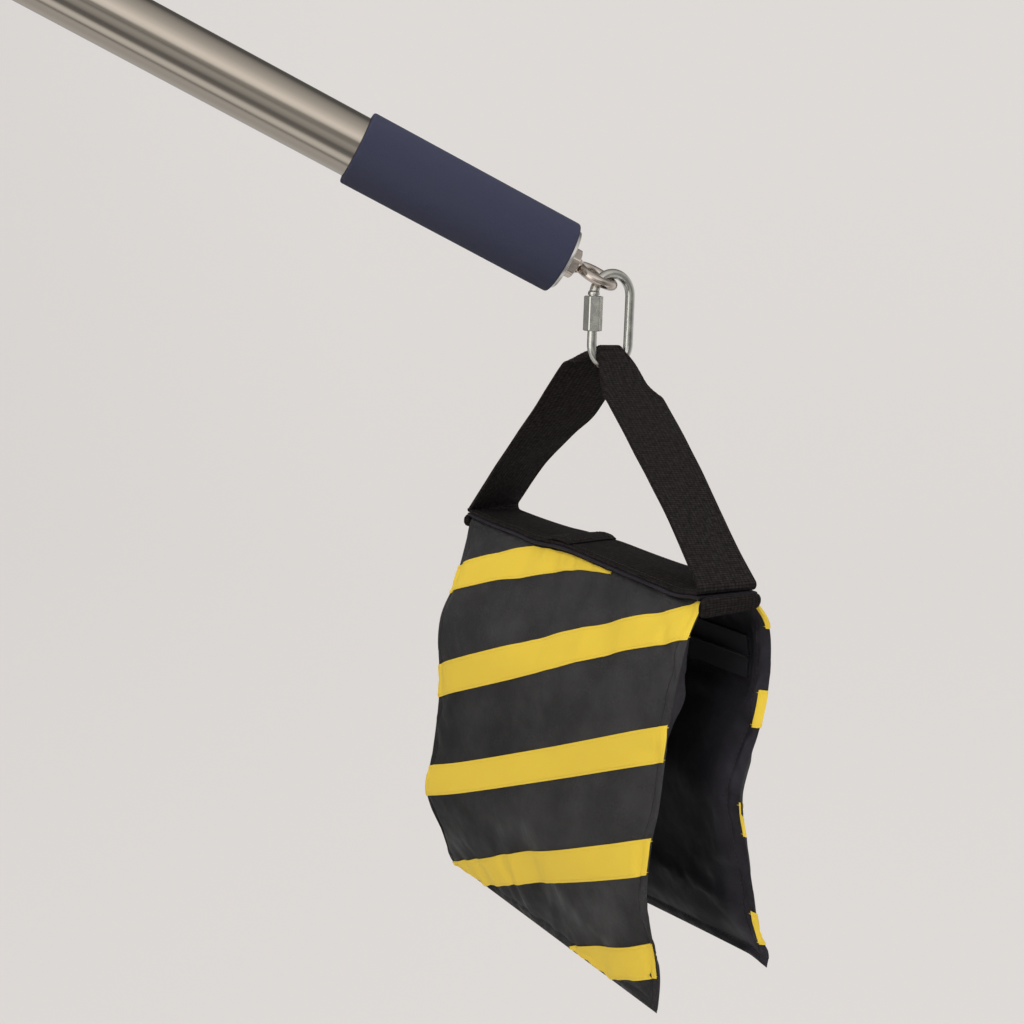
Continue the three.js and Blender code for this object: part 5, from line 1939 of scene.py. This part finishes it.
class Ribbons(Step, bpy.types.Operator):
    """Lays the yellow ribbons over the pouches and sews them down."""

    bl_idname = "boom_arm.ribbons"
    bl_label = "Ribbons"

    def build(self):
        for half, cloth in CLOTHS.items():
            edge_lines = []
            for index in range(RIBBON_COUNT):
                piece, lines = self.ribbon(cloth, half, index)
                hung(piece, half, "ribbon", f"{half}_ribbon_{index + 1}")
                edge_lines += lines
            seams = stitched(half + "_ribbon_stitches", edge_lines, finish(yellow_thread), 0.2 * MM)
            hung(seams, half, "ribbon")

    def ribbon(self, cloth, half, index):
        far_drop = RIBBON_FIRST_DROP + index * RIBBON_PITCH
        slope = math.atan2(RIBBON_RISE, cloth.width)
        half_height = bag().ribbon_width / 2 / math.cos(slope)
        inset = 1.5 * MM
        lowest = cloth.drop - inset

        def edges(along):
            middle = far_drop - RIBBON_RISE * along
            upper, lower = table_at(RIBBON_BENDS[half, index], along)
            return (
                max(middle - half_height + upper * MM, inset),
                min(middle + half_height + lower * MM, lowest),
            )

        trials = 400
        shown = [
            k / trials for k in range(trials + 1)
            if edges(k / trials)[1] - edges(k / trials)[0] > inset
        ]
        start, stop = shown[0], shown[-1]
        columns = max(8, round((stop - start) * cloth.width / (1.8 * MM)))
        rows = 9
        seam_reach = 0.6 * MM / cloth.width
        grid = []
        for i in range(columns + 1):
            along = start + (stop - start) * i / columns
            along = min(1 - seam_reach, max(seam_reach, along))
            top, bottom = edges(along)
            strip = []
            for j in range(rows + 1):
                drop = top + (bottom - top) * j / rows
                point, outward = cloth.surface(along, drop / cloth.drop)
                strip.append((point + outward * RIBBON_LIFT, outward))
            grid.append(strip)
        grid += self.wrapped_end(cloth, grid[-1], RIBBON_WRAPS.get((half, index), 0) * MM)
        rings = []
        for strip in grid:
            lower = [point for point, _ in strip]
            raised = []
            for j, (point, outward) in enumerate(strip):
                edge = min(j, rows - j)
                lift = RIBBON_THICKNESS * (0.8 if edge == 0 else 1.0)
                raised.append(point + outward * lift)
            rings.append([*lower, *raised[::-1]])
        us = distances([ring[0] for ring in rings], False)
        vs = distances(rings[columns // 2], True)
        name = f"{half}_stripe_{index + 1}"
        piece = skin(
            name, rings, finish(woven_ribbon), caps=True, angle=CLOTH_ANGLE, uvs=(us, vs),
        )
        lines = []
        inset_share = 1.6 * MM / bag().ribbon_width
        for share in (inset_share, 1 - inset_share):
            line = []
            for strip in grid:
                spot = share * rows
                k = min(int(spot), rows - 1)
                (a, out), (b, _) = strip[k], strip[k + 1]
                line.append(a.lerp(b, spot - k) + out * (RIBBON_THICKNESS + 0.02 * MM))
            lines.append(line)
        return piece, lines

    @staticmethod
    def wrapped_end(cloth, last, reach):
        """The rest of a ribbon that goes round the near seam, from its last strip on."""
        if not reach:
            return []
        ahead = BAG.to_3x3() @ Vector((1, 0, 0))
        strips = []
        steps = max(3, round(reach / (1.2 * MM)))
        downs = []
        for point, _ in last:
            local = BAG.inverted() @ point
            downs.append(clamped((pouch_top() - local.z) / cloth.drop))
        for k in range(steps + 1):
            along = 1 - (0.05 * MM + reach * k / steps) / cloth.width
            strip = []
            for down in downs:
                point, outward = cloth.surface(along, down, True)
                turned_out = (outward + ahead * max(0.0, 1 - 2 * k / steps)).normalized()
                strip.append((point + turned_out * RIBBON_LIFT, turned_out))
            strips.append(strip)
        return strips


class Zips(Step, bpy.types.Operator):
    """Makes the zips on the pouches' inner faces."""

    bl_idname = "boom_arm.zips"
    bl_label = "Zips"

    def build(self):
        for half in POUCHES:
            self.tape(half)
            self.slider(half)

    def tape(self, half):
        """A zip's tape and its teeth, on the plane that the inner face keeps for it."""
        side = POUCHES[half]["side"]
        columns = 90
        rows = 10

        def back(drop):
            return side * (zip_stand(half, drop) - CLOTH_GAP), pouch_top() - drop

        rings = []
        middle_line = []
        for i in range(columns + 1):
            x = BAG_OFFSET + (i / columns - 0.5) * ZIP_TAPE_LENGTH
            under = []
            above = []
            for j in range(rows + 1):
                y, z = back(ZIP_DROP + (j / rows - 0.5) * ZIP_TAPE_WIDTH)
                crown = 0.25 * MM * math.sin(math.pi * j / rows)
                under.append((x, y, z))
                above.append((x, y - side * (0.75 * MM + crown), z))
            rings.append([*under, *above[::-1]])
            y, z = back(ZIP_DROP)
            middle_line.append(BAG @ Vector((x, y - side * 1.1 * MM, z)))
        twill = finish(zip_twill)
        tape = skin(half + "_tape", rings, twill, BAG, caps=True, angle=CLOTH_ANGLE)
        hung(tape, half, "webbing", half + "_zip_tape")
        teeth = grown(
            half + "_zip_teeth", teeth_tree, finish(nylon_coil), source=path_mesh([middle_line]),
            Pitch=1.5 * MM, Width=1.3 * MM, Depth=5.2 * MM,
        )
        hung(teeth, half, "plastic")

    def slider(self, half):
        name = half + "_zip_slider"
        body = softened(half + "_slider_body", name, finish(bright_nickel), 0.7 * MM, 4)
        fitted(body, half + "_slider", "zinc", name)


class SpineStitches(Step, bpy.types.Operator):
    """Sews the webbing down along the spine and across its overlap."""

    bl_idname = "boom_arm.spine_stitches"
    bl_label = "Spine Stitches"

    def build(self):
        top_end = BAG_OFFSET + OVERLAP_END
        start = BAG_OFFSET - spine_half() + 4 * MM
        stop = BAG_OFFSET + spine_half() - 4 * MM

        def on_top(x, across):
            y = SPINE_SHIFT + across
            height = SPINE_HEIGHT + bag().webbing_thickness + 0.12 * MM
            back = top_end - OVERLAP_SLANT * across - x
            if back > 0:
                share, bulge = overlap_lie(back)
                height += under_thickness(x) + bulge - (1 - share) * bag().webbing_thickness
            return BAG @ Vector((x, y, height - sink_at(x, y)))

        lines = []
        rows = 120
        for across in (-SPINE_SEAM, SPINE_SEAM):
            end = top_end - OVERLAP_SLANT * across
            for first, last in ((start, end - MM), (end + MM, stop)):
                lines.append([
                    on_top(first + (last - first) * k / rows, across) for k in range(rows + 1)
                ])
        for back in (3 * MM, 26 * MM):
            lines.append([
                on_top(top_end - OVERLAP_SLANT * across - back, across)
                for across in (SPINE_SEAM * (k / 20 - 1) for k in range(41))
            ])
        seams = stitched("spine_stitches", lines, finish(black_thread), 0.32 * MM)
        fitted(seams, "bag_top", "webbing")


# Handles, clamp and stand head


def along_y(space):
    """A frame whose X runs along the given frame's Y."""
    return turned_about(space, "Z", math.radians(90))


def cross_handle(label, space, stud_length, hub_length, body, node):
    """A moulded handle with a cross bar on a threaded stud; the stud's tip is at the origin."""
    plastic = finish(moulded_plastic)
    axis = along_y(space)
    hub_to = -stud_length
    hub_from = hub_to - hub_length
    hub = rod(label + "_hub", [
        (hub_from, HUB_RADIUS * 0.9), (hub_from + 3 * MM, HUB_RADIUS),
        (hub_to - 2 * MM, HUB_RADIUS), (hub_to, HUB_RADIUS * 0.86),
    ], 1.2 * MM, plastic, axis)
    bar_space = turned_about(moved(space, 0, hub_from + BAR_INSET, 0), "Y", math.radians(90))
    end = BAR_HALF_LENGTH
    bar = rod(label + "_bar", [
        (-end, BAR_RADIUS), (-end * 0.45, BAR_WAIST_RADIUS), (end * 0.45, BAR_WAIST_RADIUS),
        (end, BAR_RADIUS),
    ], 2.6 * MM, plastic, bar_space, steps=7)
    handle = fused(label + "_cross_handle", [hub, bar], plastic, 0.7 * MM)
    ribs_from, ribs_length = hub_to - 6 * MM, 5 * MM
    if hub_length > HUB_LENGTH:
        ribs_from, ribs_length = hub_from + 11 * MM, hub_length - 14 * MM
    ribs = grown(
        label + "_hub_ribs", rib_tree, plastic, axis, Count=HUB_RIBS, Radius=HUB_RADIUS - 0.1 * MM,
        Start=ribs_from, Length=ribs_length, Rib=0.55 * MM,
    )
    fitted(joined(label + "_handle", [handle, ribs], plastic), body, "plastic", node)
    zinc = finish(bright_zinc)
    root = STUD_RADIUS - THREAD_DEPTH
    core = rod(label + "_core", [(hub_to - MM, root), (0, root)], 0.5 * MM, zinc, axis)
    wound = stud_length - 2 * MM
    spiral = grown(
        label + "_thread", thread_tree, zinc, axis, Turns=wound / THREAD_PITCH, Radius=root,
        Start=-stud_length + MM, Length=wound, Depth=THREAD_DEPTH,
    )
    fitted(joined(label + "_stud", [core, spiral], zinc), body, "zinc")


class StandHead(Step, bpy.types.Operator):
    """Makes the receiver, the tilt bolt, its washer and the friction rings."""

    bl_idname = "boom_arm.stand_head"
    bl_label = "Stand Head"

    def build(self):
        casting = softened("fork_casting", "stand_receiver", finish(powder_coat))
        fitted(casting, "stand_head", "casting", "stand_receiver")
        space = moved(HEAD, 0, -SPIGOT_RADIUS - SEAT_GAP, RECEIVER_KNOB_HEIGHT)
        cross_handle("receiver", space, STUD_LENGTH, HUB_LENGTH, "receiver_screw", "receiver_knob")

        zinc = finish(bright_zinc)
        axis = along_y(TILT)
        root = TILT_BOLT_RADIUS - THREAD_DEPTH
        head_to = -FORK_OUTER - SEAT_GAP
        head = hexagon("tilt_head", BOLT_FLATS, head_to - BOLT_HEAD, head_to, zinc, axis)
        lever_end = FORK_OUTER + WASHER_THICKNESS + 2 * SEAT_GAP + LEVER_HUB_LENGTH
        shank = rod("tilt_shank", [
            (head_to - MM, TILT_BOLT_RADIUS), (lever_end - 4 * MM, TILT_BOLT_RADIUS),
            (lever_end - 3 * MM, root), (lever_end + THREAD_STAND, root),
        ], 0.4 * MM, zinc, axis)
        spiral = grown(
            "tilt_thread", thread_tree, zinc, axis, Turns=4.6, Radius=root,
            Start=lever_end - 3 * MM, Length=5.6 * MM, Depth=THREAD_DEPTH,
        )
        bolt = joined("tilt_hex_bolt", [head, shank, spiral], zinc)
        fitted(bolt, "stand_head", "zinc", "tilt_bolt")
        washer_from = FORK_OUTER + SEAT_GAP
        washer = sleeve("lever_washer", ring_corners(
            washer_from, washer_from + WASHER_THICKNESS, TILT_BOLT_RADIUS + SEAT_GAP, WASHER_RADIUS,
        ), 0.4 * MM, zinc, axis)
        fitted(washer, "stand_head", "zinc", "tilt_washer")
        near_face = LUG_HALF_WIDTH + SEAT_GAP
        for name, side in (("near", -1), ("far", 1)):
            start, stop = sorted((side * near_face, side * (near_face + DISC_THICKNESS)))
            corners = ring_corners(start, stop, TILT_BOLT_RADIUS + 2 * SEAT_GAP, LUG_RADIUS)
            plastic = finish(moulded_plastic)
            ring = sleeve(name + "_friction_ring", corners, 0.3 * MM, plastic, axis)
            fitted(ring, "stand_head", "plastic", "friction_disc_" + name)


class TiltLever(Step, bpy.types.Operator):
    """Makes the clamping lever with its ball end."""

    bl_idname = "boom_arm.tilt_lever"
    bl_label = "Tilt Lever"

    def build(self):
        plastic = finish(moulded_plastic)
        space = turned_about(TILT, "Y", math.pi - LEVER_TURN)
        start = FORK_OUTER + WASHER_THICKNESS + 2 * SEAT_GAP
        stop = start + LEVER_HUB_LENGTH
        bore = TILT_BOLT_RADIUS + SEAT_GAP
        hub = sleeve("lever_hub", [
            (start, bore), (start, LEVER_HUB_RADIUS), (stop, LEVER_HUB_RADIUS * 0.9), (stop, bore),
        ], 1.5 * MM, plastic, along_y(space), 64)
        root = moved(space, 0, (start + stop) / 2, 0)
        arm_space = turned_about(turned_about(root, "X", -LEVER_RAKE), "Y", math.radians(-90))
        tip = LEVER_ARM_LENGTH
        profile = [
            (LEVER_HUB_RADIUS * 0.75, AXIS_RADIUS),
            (LEVER_HUB_RADIUS * 0.75, LEVER_ARM_RADIUS * 1.25),
            (tip * 0.45, LEVER_ARM_RADIUS * 0.85), (tip - LEVER_TIP_RADIUS, LEVER_ARM_RADIUS * 0.9),
        ]
        for i in range(10):
            turn = math.radians(130 - 130 * i / 9)
            radius = max(LEVER_TIP_RADIUS * math.sin(turn), AXIS_RADIUS)
            profile.append((tip + LEVER_TIP_RADIUS * math.cos(turn), radius))
        arm = turned("lever_arm", profile, plastic, arm_space, SMALL_COLUMNS, bored=False)
        lever = fused("ball_lever", [hub, arm], plastic, 0.75 * MM)
        fitted(lever, "lever", "plastic", "tilt_lever")


class Clamp(Step, bpy.types.Operator):
    """Makes the split clamp, its liner, its screw and nut."""

    bl_idname = "boom_arm.clamp"
    bl_label = "Clamp"

    def build(self):
        casting = softened("sleeve_casting", "clamp_body", finish(powder_coat))
        fitted(casting, "clamp", "casting", "clamp_body")
        liner = softened("split_liner", "clamp_liner", finish(moulded_plastic), 0.35 * MM)
        fitted(liner, "clamp", "plastic", "clamp_liner")
        reach = CLAMP_EAR_FACE + SEAT_GAP + CLAMP_NUT_THICKNESS
        screw = moved(CLAMP, 0, reach, CLAMP_SCREW_HEIGHT)
        stud = reach + CLAMP_EAR_FACE + SEAT_GAP
        cross_handle("clamp", screw, stud, CLAMP_HUB_LENGTH, "clamp_screw", "clamp_knob")
        nut_space = along_y(moved(CLAMP, 0, 0, CLAMP_SCREW_HEIGHT))
        start = CLAMP_EAR_FACE + SEAT_GAP
        nut = hexagon(
            "clamp_hex_nut", CLAMP_NUT_FLATS, start, start + CLAMP_NUT_THICKNESS,
            finish(bright_zinc), nut_space, STUD_RADIUS + SEAT_GAP,
        )
        fitted(nut, "clamp", "zinc", "clamp_nut")


class LockCollar(Step, bpy.types.Operator):
    """Makes the collar that locks the front tube, with its ribs and handle."""

    bl_idname = "boom_arm.lock_collar"
    bl_label = "Lock Collar"

    def build(self):
        split = rear_tube_from() - SEAT_GAP
        coat = finish(powder_coat)
        ring = softened("collar_casting", "lock_collar", coat)
        ribs = grown(
            "collar_ribs", rib_tree, coat, BOOM, Count=COLLAR_RIBS, Radius=COLLAR_RADIUS - 0.2 * MM,
            Start=split + 4 * MM, Length=COLLAR_LENGTH - 8 * MM, Rib=1.1 * MM,
        )
        fitted(joined("ribbed_collar", [ring, ribs], coat), "boom", "casting", "lock_collar")
        tip = boom().front_diameter / 2 + SEAT_GAP
        space = moved(BOOM, split - COLLAR_LENGTH / 2, -tip, 0)
        cross_handle("collar", space, STUD_LENGTH, HUB_LENGTH, "collar_screw", "collar_knob")
        dressed("collar_bush", finish(moulded_plastic))
        dressed("tail_bush", finish(moulded_plastic))


class FrontEnd(Step, bpy.types.Operator):
    """Makes the plug and the spigot at the boom's front end."""

    bl_idname = "boom_arm.front_end"
    bl_label = "Front Spigot"

    def build(self):
        start = front_tube_from()
        radius = boom().front_diameter / 2
        inner = radius - boom().tube_wall - SEAT_GAP
        plug_end = start + FRONT_PLUG_LENGTH
        flange_to = start - SEAT_GAP
        seat = flange_to - FRONT_PLUG_FLANGE
        bore = SPIGOT_RADIUS + SEAT_GAP
        plug = sleeve("front_end_plug", [
            (seat, bore), (seat, radius), (flange_to, radius), (flange_to, inner),
            (plug_end, inner), (plug_end, bore),
        ], 0.6 * MM, finish(moulded_plastic), BOOM)
        fitted(plug, "extension", "plastic", "front_plug")
        tip = seat - FRONT_SPIGOT_LENGTH
        groove_to = seat - (FRONT_SPIGOT_LENGTH - SPIGOT_GROOVE_WIDTH) / 2
        groove_from = groove_to - SPIGOT_GROOVE_WIDTH
        slope = SPIGOT_RADIUS - SPIGOT_GROOVE_RADIUS
        spigot = rod("accessory_spigot", [
            (tip - SPIGOT_TIP_LENGTH, SPIGOT_TIP_RADIUS), (tip, SPIGOT_TIP_RADIUS),
            (tip, SPIGOT_RADIUS), (groove_from, SPIGOT_RADIUS),
            (groove_from + slope, SPIGOT_GROOVE_RADIUS), (groove_to - slope, SPIGOT_GROOVE_RADIUS),
            (groove_to, SPIGOT_RADIUS), (seat + SPIGOT_ROOT_LENGTH, SPIGOT_RADIUS),
        ], 0.6 * MM, finish(bright_zinc), BOOM, 64)
        fitted(spigot, "extension", "zinc", "front_spigot")


# Stage


class Stage(Step, bpy.types.Operator):
    """Makes the pale floor and backdrop, and the soft lights."""

    bl_idname = "boom_arm.stage"
    bl_label = "Stage"

    FLOOR_HEIGHT = -1.25
    FLOOR_RADIUS = 9.0
    COVE_RADIUS = 3.0
    WALL_HEIGHT = 9.0
    # What a metal reflects: degrees round from the front over the top, and round from the front
    # to the sides, each with how bright it is there
    STRIPS_OVER = (
        (-180, 0.45), (-139, 0.62), (-115, 0.57), (-97, 0.6), (-88, 0.52), (-83, 0.22), (-78, 0.52),
        (-71, 0.84), (-59, 0.86), (-53, 0.6), (-47, 0.22), (-35, 0.17), (-26, 0.4), (-15, 0.52),
        (-9, 0.42), (-5, 0.26), (2, 0.26), (6, 0.5), (11, 1.02), (24, 1.2), (36, 0.98), (48, 0.8),
        (60, 0.67), (74, 0.58), (88, 0.5), (106, 0.36), (128, 0.12), (155, 0.12), (180, 0.45),
    )
    STRIPS_ROUND = (
        (-180, 0.45), (-150, 0.12), (-128, 0.24), (-102, 0.32), (-84, 0.5), (-67, 1.6), (-44, 1.6),
        (-30, 0.95), (-18, 0.42), (0, 0.45), (15, 0.24), (38, 0.16), (60, 0.3), (82, 0.45),
        (110, 0.7), (140, 0.78), (160, 0.55), (180, 0.45),
    )
    BRIGHTEST = 1.6
    # Each lamp's place, size, power and colour, and the point that they all face
    LAMPS = {
        "key": ((-1.1, -2.3, 1.9), 2.0, 68, (1.0, 0.985, 0.97)),
        "fill": ((2.4, -2.0, 0.3), 1.8, 20, (0.975, 0.985, 1.0)),
        "top": ((0.3, 0.7, 2.4), 1.8, 22, (1.0, 1.0, 1.0)),
    }
    TARGET = Vector((0.36, 0, -0.1))

    def build(self):
        self.backdrop()
        self.world()
        for name, settings in self.LAMPS.items():
            self.lamp(name, *settings)
        bpy.context.scene.view_settings.view_transform = "Standard"

    def backdrop(self):
        floor = self.FLOOR_HEIGHT
        cove = self.COVE_RADIUS
        wall = self.FLOOR_RADIUS
        profile = [(floor, 0.01), (floor, wall * 0.3), (floor, wall - cove)]
        for i in range(1, 13):
            turn = math.radians(90 * i / 12)
            height = floor + cove * (1 - math.cos(turn))
            profile.append((height, wall - cove + cove * math.sin(turn)))
        profile.append((floor + self.WALL_HEIGHT, wall))
        rings = [[(*point, z) for point in circle(radius, ROUND_COLUMNS)] for z, radius in profile]
        surface = Surface("backdrop_paper", colours().backdrop, 0.95, shine=0.0)
        sweep = skin("backdrop", rings, surface.material)
        ray = surface.add("ShaderNodeLightPath").outputs
        left, _, height = surface.split(surface.add("ShaderNodeTexCoord").outputs["Object"])
        # Painted falloff: the backdrop's glow dims towards the left and towards the floor.
        painted_falloff = surface.math(
            "MULTIPLY", surface.ramp(left, 0.89, 1.025, -4.0, 1.0),
            surface.ramp(height, 0.975, 1.0, floor, 0.6),
        )
        glow = surface.out("ShaderNodeEmission", {"Color": surface.shade(1), "Strength": painted_falloff})
        paper = surface.shader.outputs[0]
        soft = surface.out("ShaderNodeMixShader", {0: 0.9, 1: paper, 2: glow})
        seen = surface.math("MAXIMUM", ray["Is Camera Ray"], ray["Is Glossy Ray"])
        seen = surface.math("MAXIMUM", seen, ray["Is Transmission Ray"])
        choice = surface.out("ShaderNodeMixShader", {0: seen, 1: paper, 2: soft})
        output = next(n for n in surface.tree.nodes if n.type == "OUTPUT_MATERIAL")
        surface.feed(output.inputs["Surface"], choice)
        assigned(sweep, visible_shadow=False, visible_glossy=False)

    def world(self):
        """Soft light all round; what metal reflects are strips of a studio, one over another."""
        world = bpy.data.worlds.new("studio")
        bpy.context.scene.world = world
        world.use_nodes = True
        nodes = Nodes(world.node_tree)
        nodes.tree.nodes.clear()
        x, y, z = nodes.split(nodes.add("ShaderNodeTexCoord").outputs["Generated"])
        front = nodes.math("MULTIPLY", y, -1)
        levels = []
        for value, strips in ((z, self.STRIPS_OVER), (x, self.STRIPS_ROUND)):
            turn = nodes.ramp(nodes.math("ARCTAN2", value, front), 0, 1, -math.pi, math.pi)
            ramp = nodes.add("ShaderNodeValToRGB", {0: turn})
            elements = ramp.color_ramp.elements
            while len(elements) > 1:
                elements.remove(elements[-1])
            for k, (degrees, level) in enumerate(strips):
                place = (degrees + 180) / 360
                share = level / self.BRIGHTEST
                element = elements.new(place) if k else elements[0]
                assigned(element, position=place, color=(share, share * 0.985, share * 0.97, 1))
            levels.append(ramp.outputs[0])
        sideways = nodes.math("ABSOLUTE", x)
        both = nodes.math("ADD", sideways, nodes.math("ABSOLUTE", z))
        share = nodes.ramp(nodes.math("DIVIDE", sideways, both), 0, 1, 0.5, 0.75)
        seen = {"Color": nodes.mixed(share, *levels), "Strength": self.BRIGHTEST}
        plain = {"Color": (*colours().backdrop, 1), "Strength": 0.94}
        ray = nodes.add("ShaderNodeLightPath").outputs["Is Glossy Ray"]
        choice = nodes.out("ShaderNodeMixShader", {
            0: ray, 1: nodes.out("ShaderNodeBackground", plain),
            2: nodes.out("ShaderNodeBackground", seen),
        })
        nodes.add("ShaderNodeOutputWorld", {"Surface": choice})

    def lamp(self, name, place, size, power, colour):
        data = bpy.data.lights.new(name, "AREA")
        assigned(data, shape="DISK", size=size, energy=power, color=colour)
        lamp = object_of(name, data)
        place = Vector(place)
        turn = (self.TARGET - place).to_track_quat("-Z", "Y")
        assigned(lamp, location=place, visible_glossy=False, rotation_mode="QUATERNION")
        lamp.rotation_quaternion = turn


class PhotoCamera(Step, bpy.types.Operator):
    """Sets the camera to the photograph's view."""

    bl_idname = "boom_arm.camera"
    bl_label = "Camera"

    def build(self):
        forward = Vector((
            math.sin(VIEW_YAW) * math.cos(VIEW_PITCH),
            math.cos(VIEW_YAW) * math.cos(VIEW_PITCH),
            -math.sin(VIEW_PITCH),
        ))
        level = Vector((math.cos(VIEW_YAW), -math.sin(VIEW_YAW), 0))
        upright = level.cross(forward)
        right = level * math.cos(VIEW_ROLL) + upright * math.sin(VIEW_ROLL)
        up = right.cross(forward)
        centre = PICTURE_SIZE / 2
        across = (BUTT_PIXEL[0] - centre) / FOCAL_PIXELS
        below = (BUTT_PIXEL[1] - centre) / FOCAL_PIXELS
        sight = forward + right * across - up * below
        butt = BOOM @ Vector((boom().butt_reach, 0, 0))
        data = bpy.data.cameras.new("photo_view")
        data.sensor_width = SENSOR_WIDTH
        data.lens = SENSOR_WIDTH * FOCAL_PIXELS / PICTURE_SIZE
        placed = Matrix((right, up, -forward)).transposed().to_4x4()
        placed.translation = butt - sight * BUTT_DISTANCE
        camera = object_of("photo_view", data)
        camera.matrix_world = placed
        bpy.context.scene.camera = camera


OPERATORS = (
    PhotoCamera, BoomTubes, FoamGrip, ButtFittings, QuickLink, HandleWebbing, SpineLining,
    Pouches, Ribbons, Zips, SpineStitches, StandHead, TiltLever, Clamp, LockCollar, FrontEnd,
    Stage,
)


class BoomArmPanel(bpy.types.Panel):
    """Lists the steps that dress the boom arm."""

    bl_idname = "BOOM_ARM_PT_steps"
    bl_label = "Boom Arm"
    bl_space_type = "VIEW_3D"
    bl_region_type = "UI"
    bl_category = "Boom Arm"

    def draw(self, context):
        for operator in OPERATORS:
            self.layout.operator(operator.bl_idname)
        for group in (boom(), bag(), colours()):
            box = self.layout.box()
            for key in group.__annotations__:
                box.prop(group, key)


GROUPS = {
    "boom_arm_boom": BoomSizes, "boom_arm_bag": BagSizes, "boom_arm_colours": FinishColours,
}
CLASSES = (*GROUPS.values(), *OPERATORS, BoomArmPanel)


def register():
    for entry in CLASSES:
        bpy.utils.register_class(entry)
    for key, group in GROUPS.items():
        setattr(bpy.types.Scene, key, bpy.props.PointerProperty(type=group))


def unregister():
    for key in GROUPS:
        delattr(bpy.types.Scene, key)
    for entry in reversed(CLASSES):
        bpy.utils.unregister_class(entry)


def main():
    register()
    for operator in OPERATORS:
        group, name = operator.bl_idname.split(".")
        getattr(getattr(bpy.ops, group), name)()


if __name__ == "__main__":
    main()
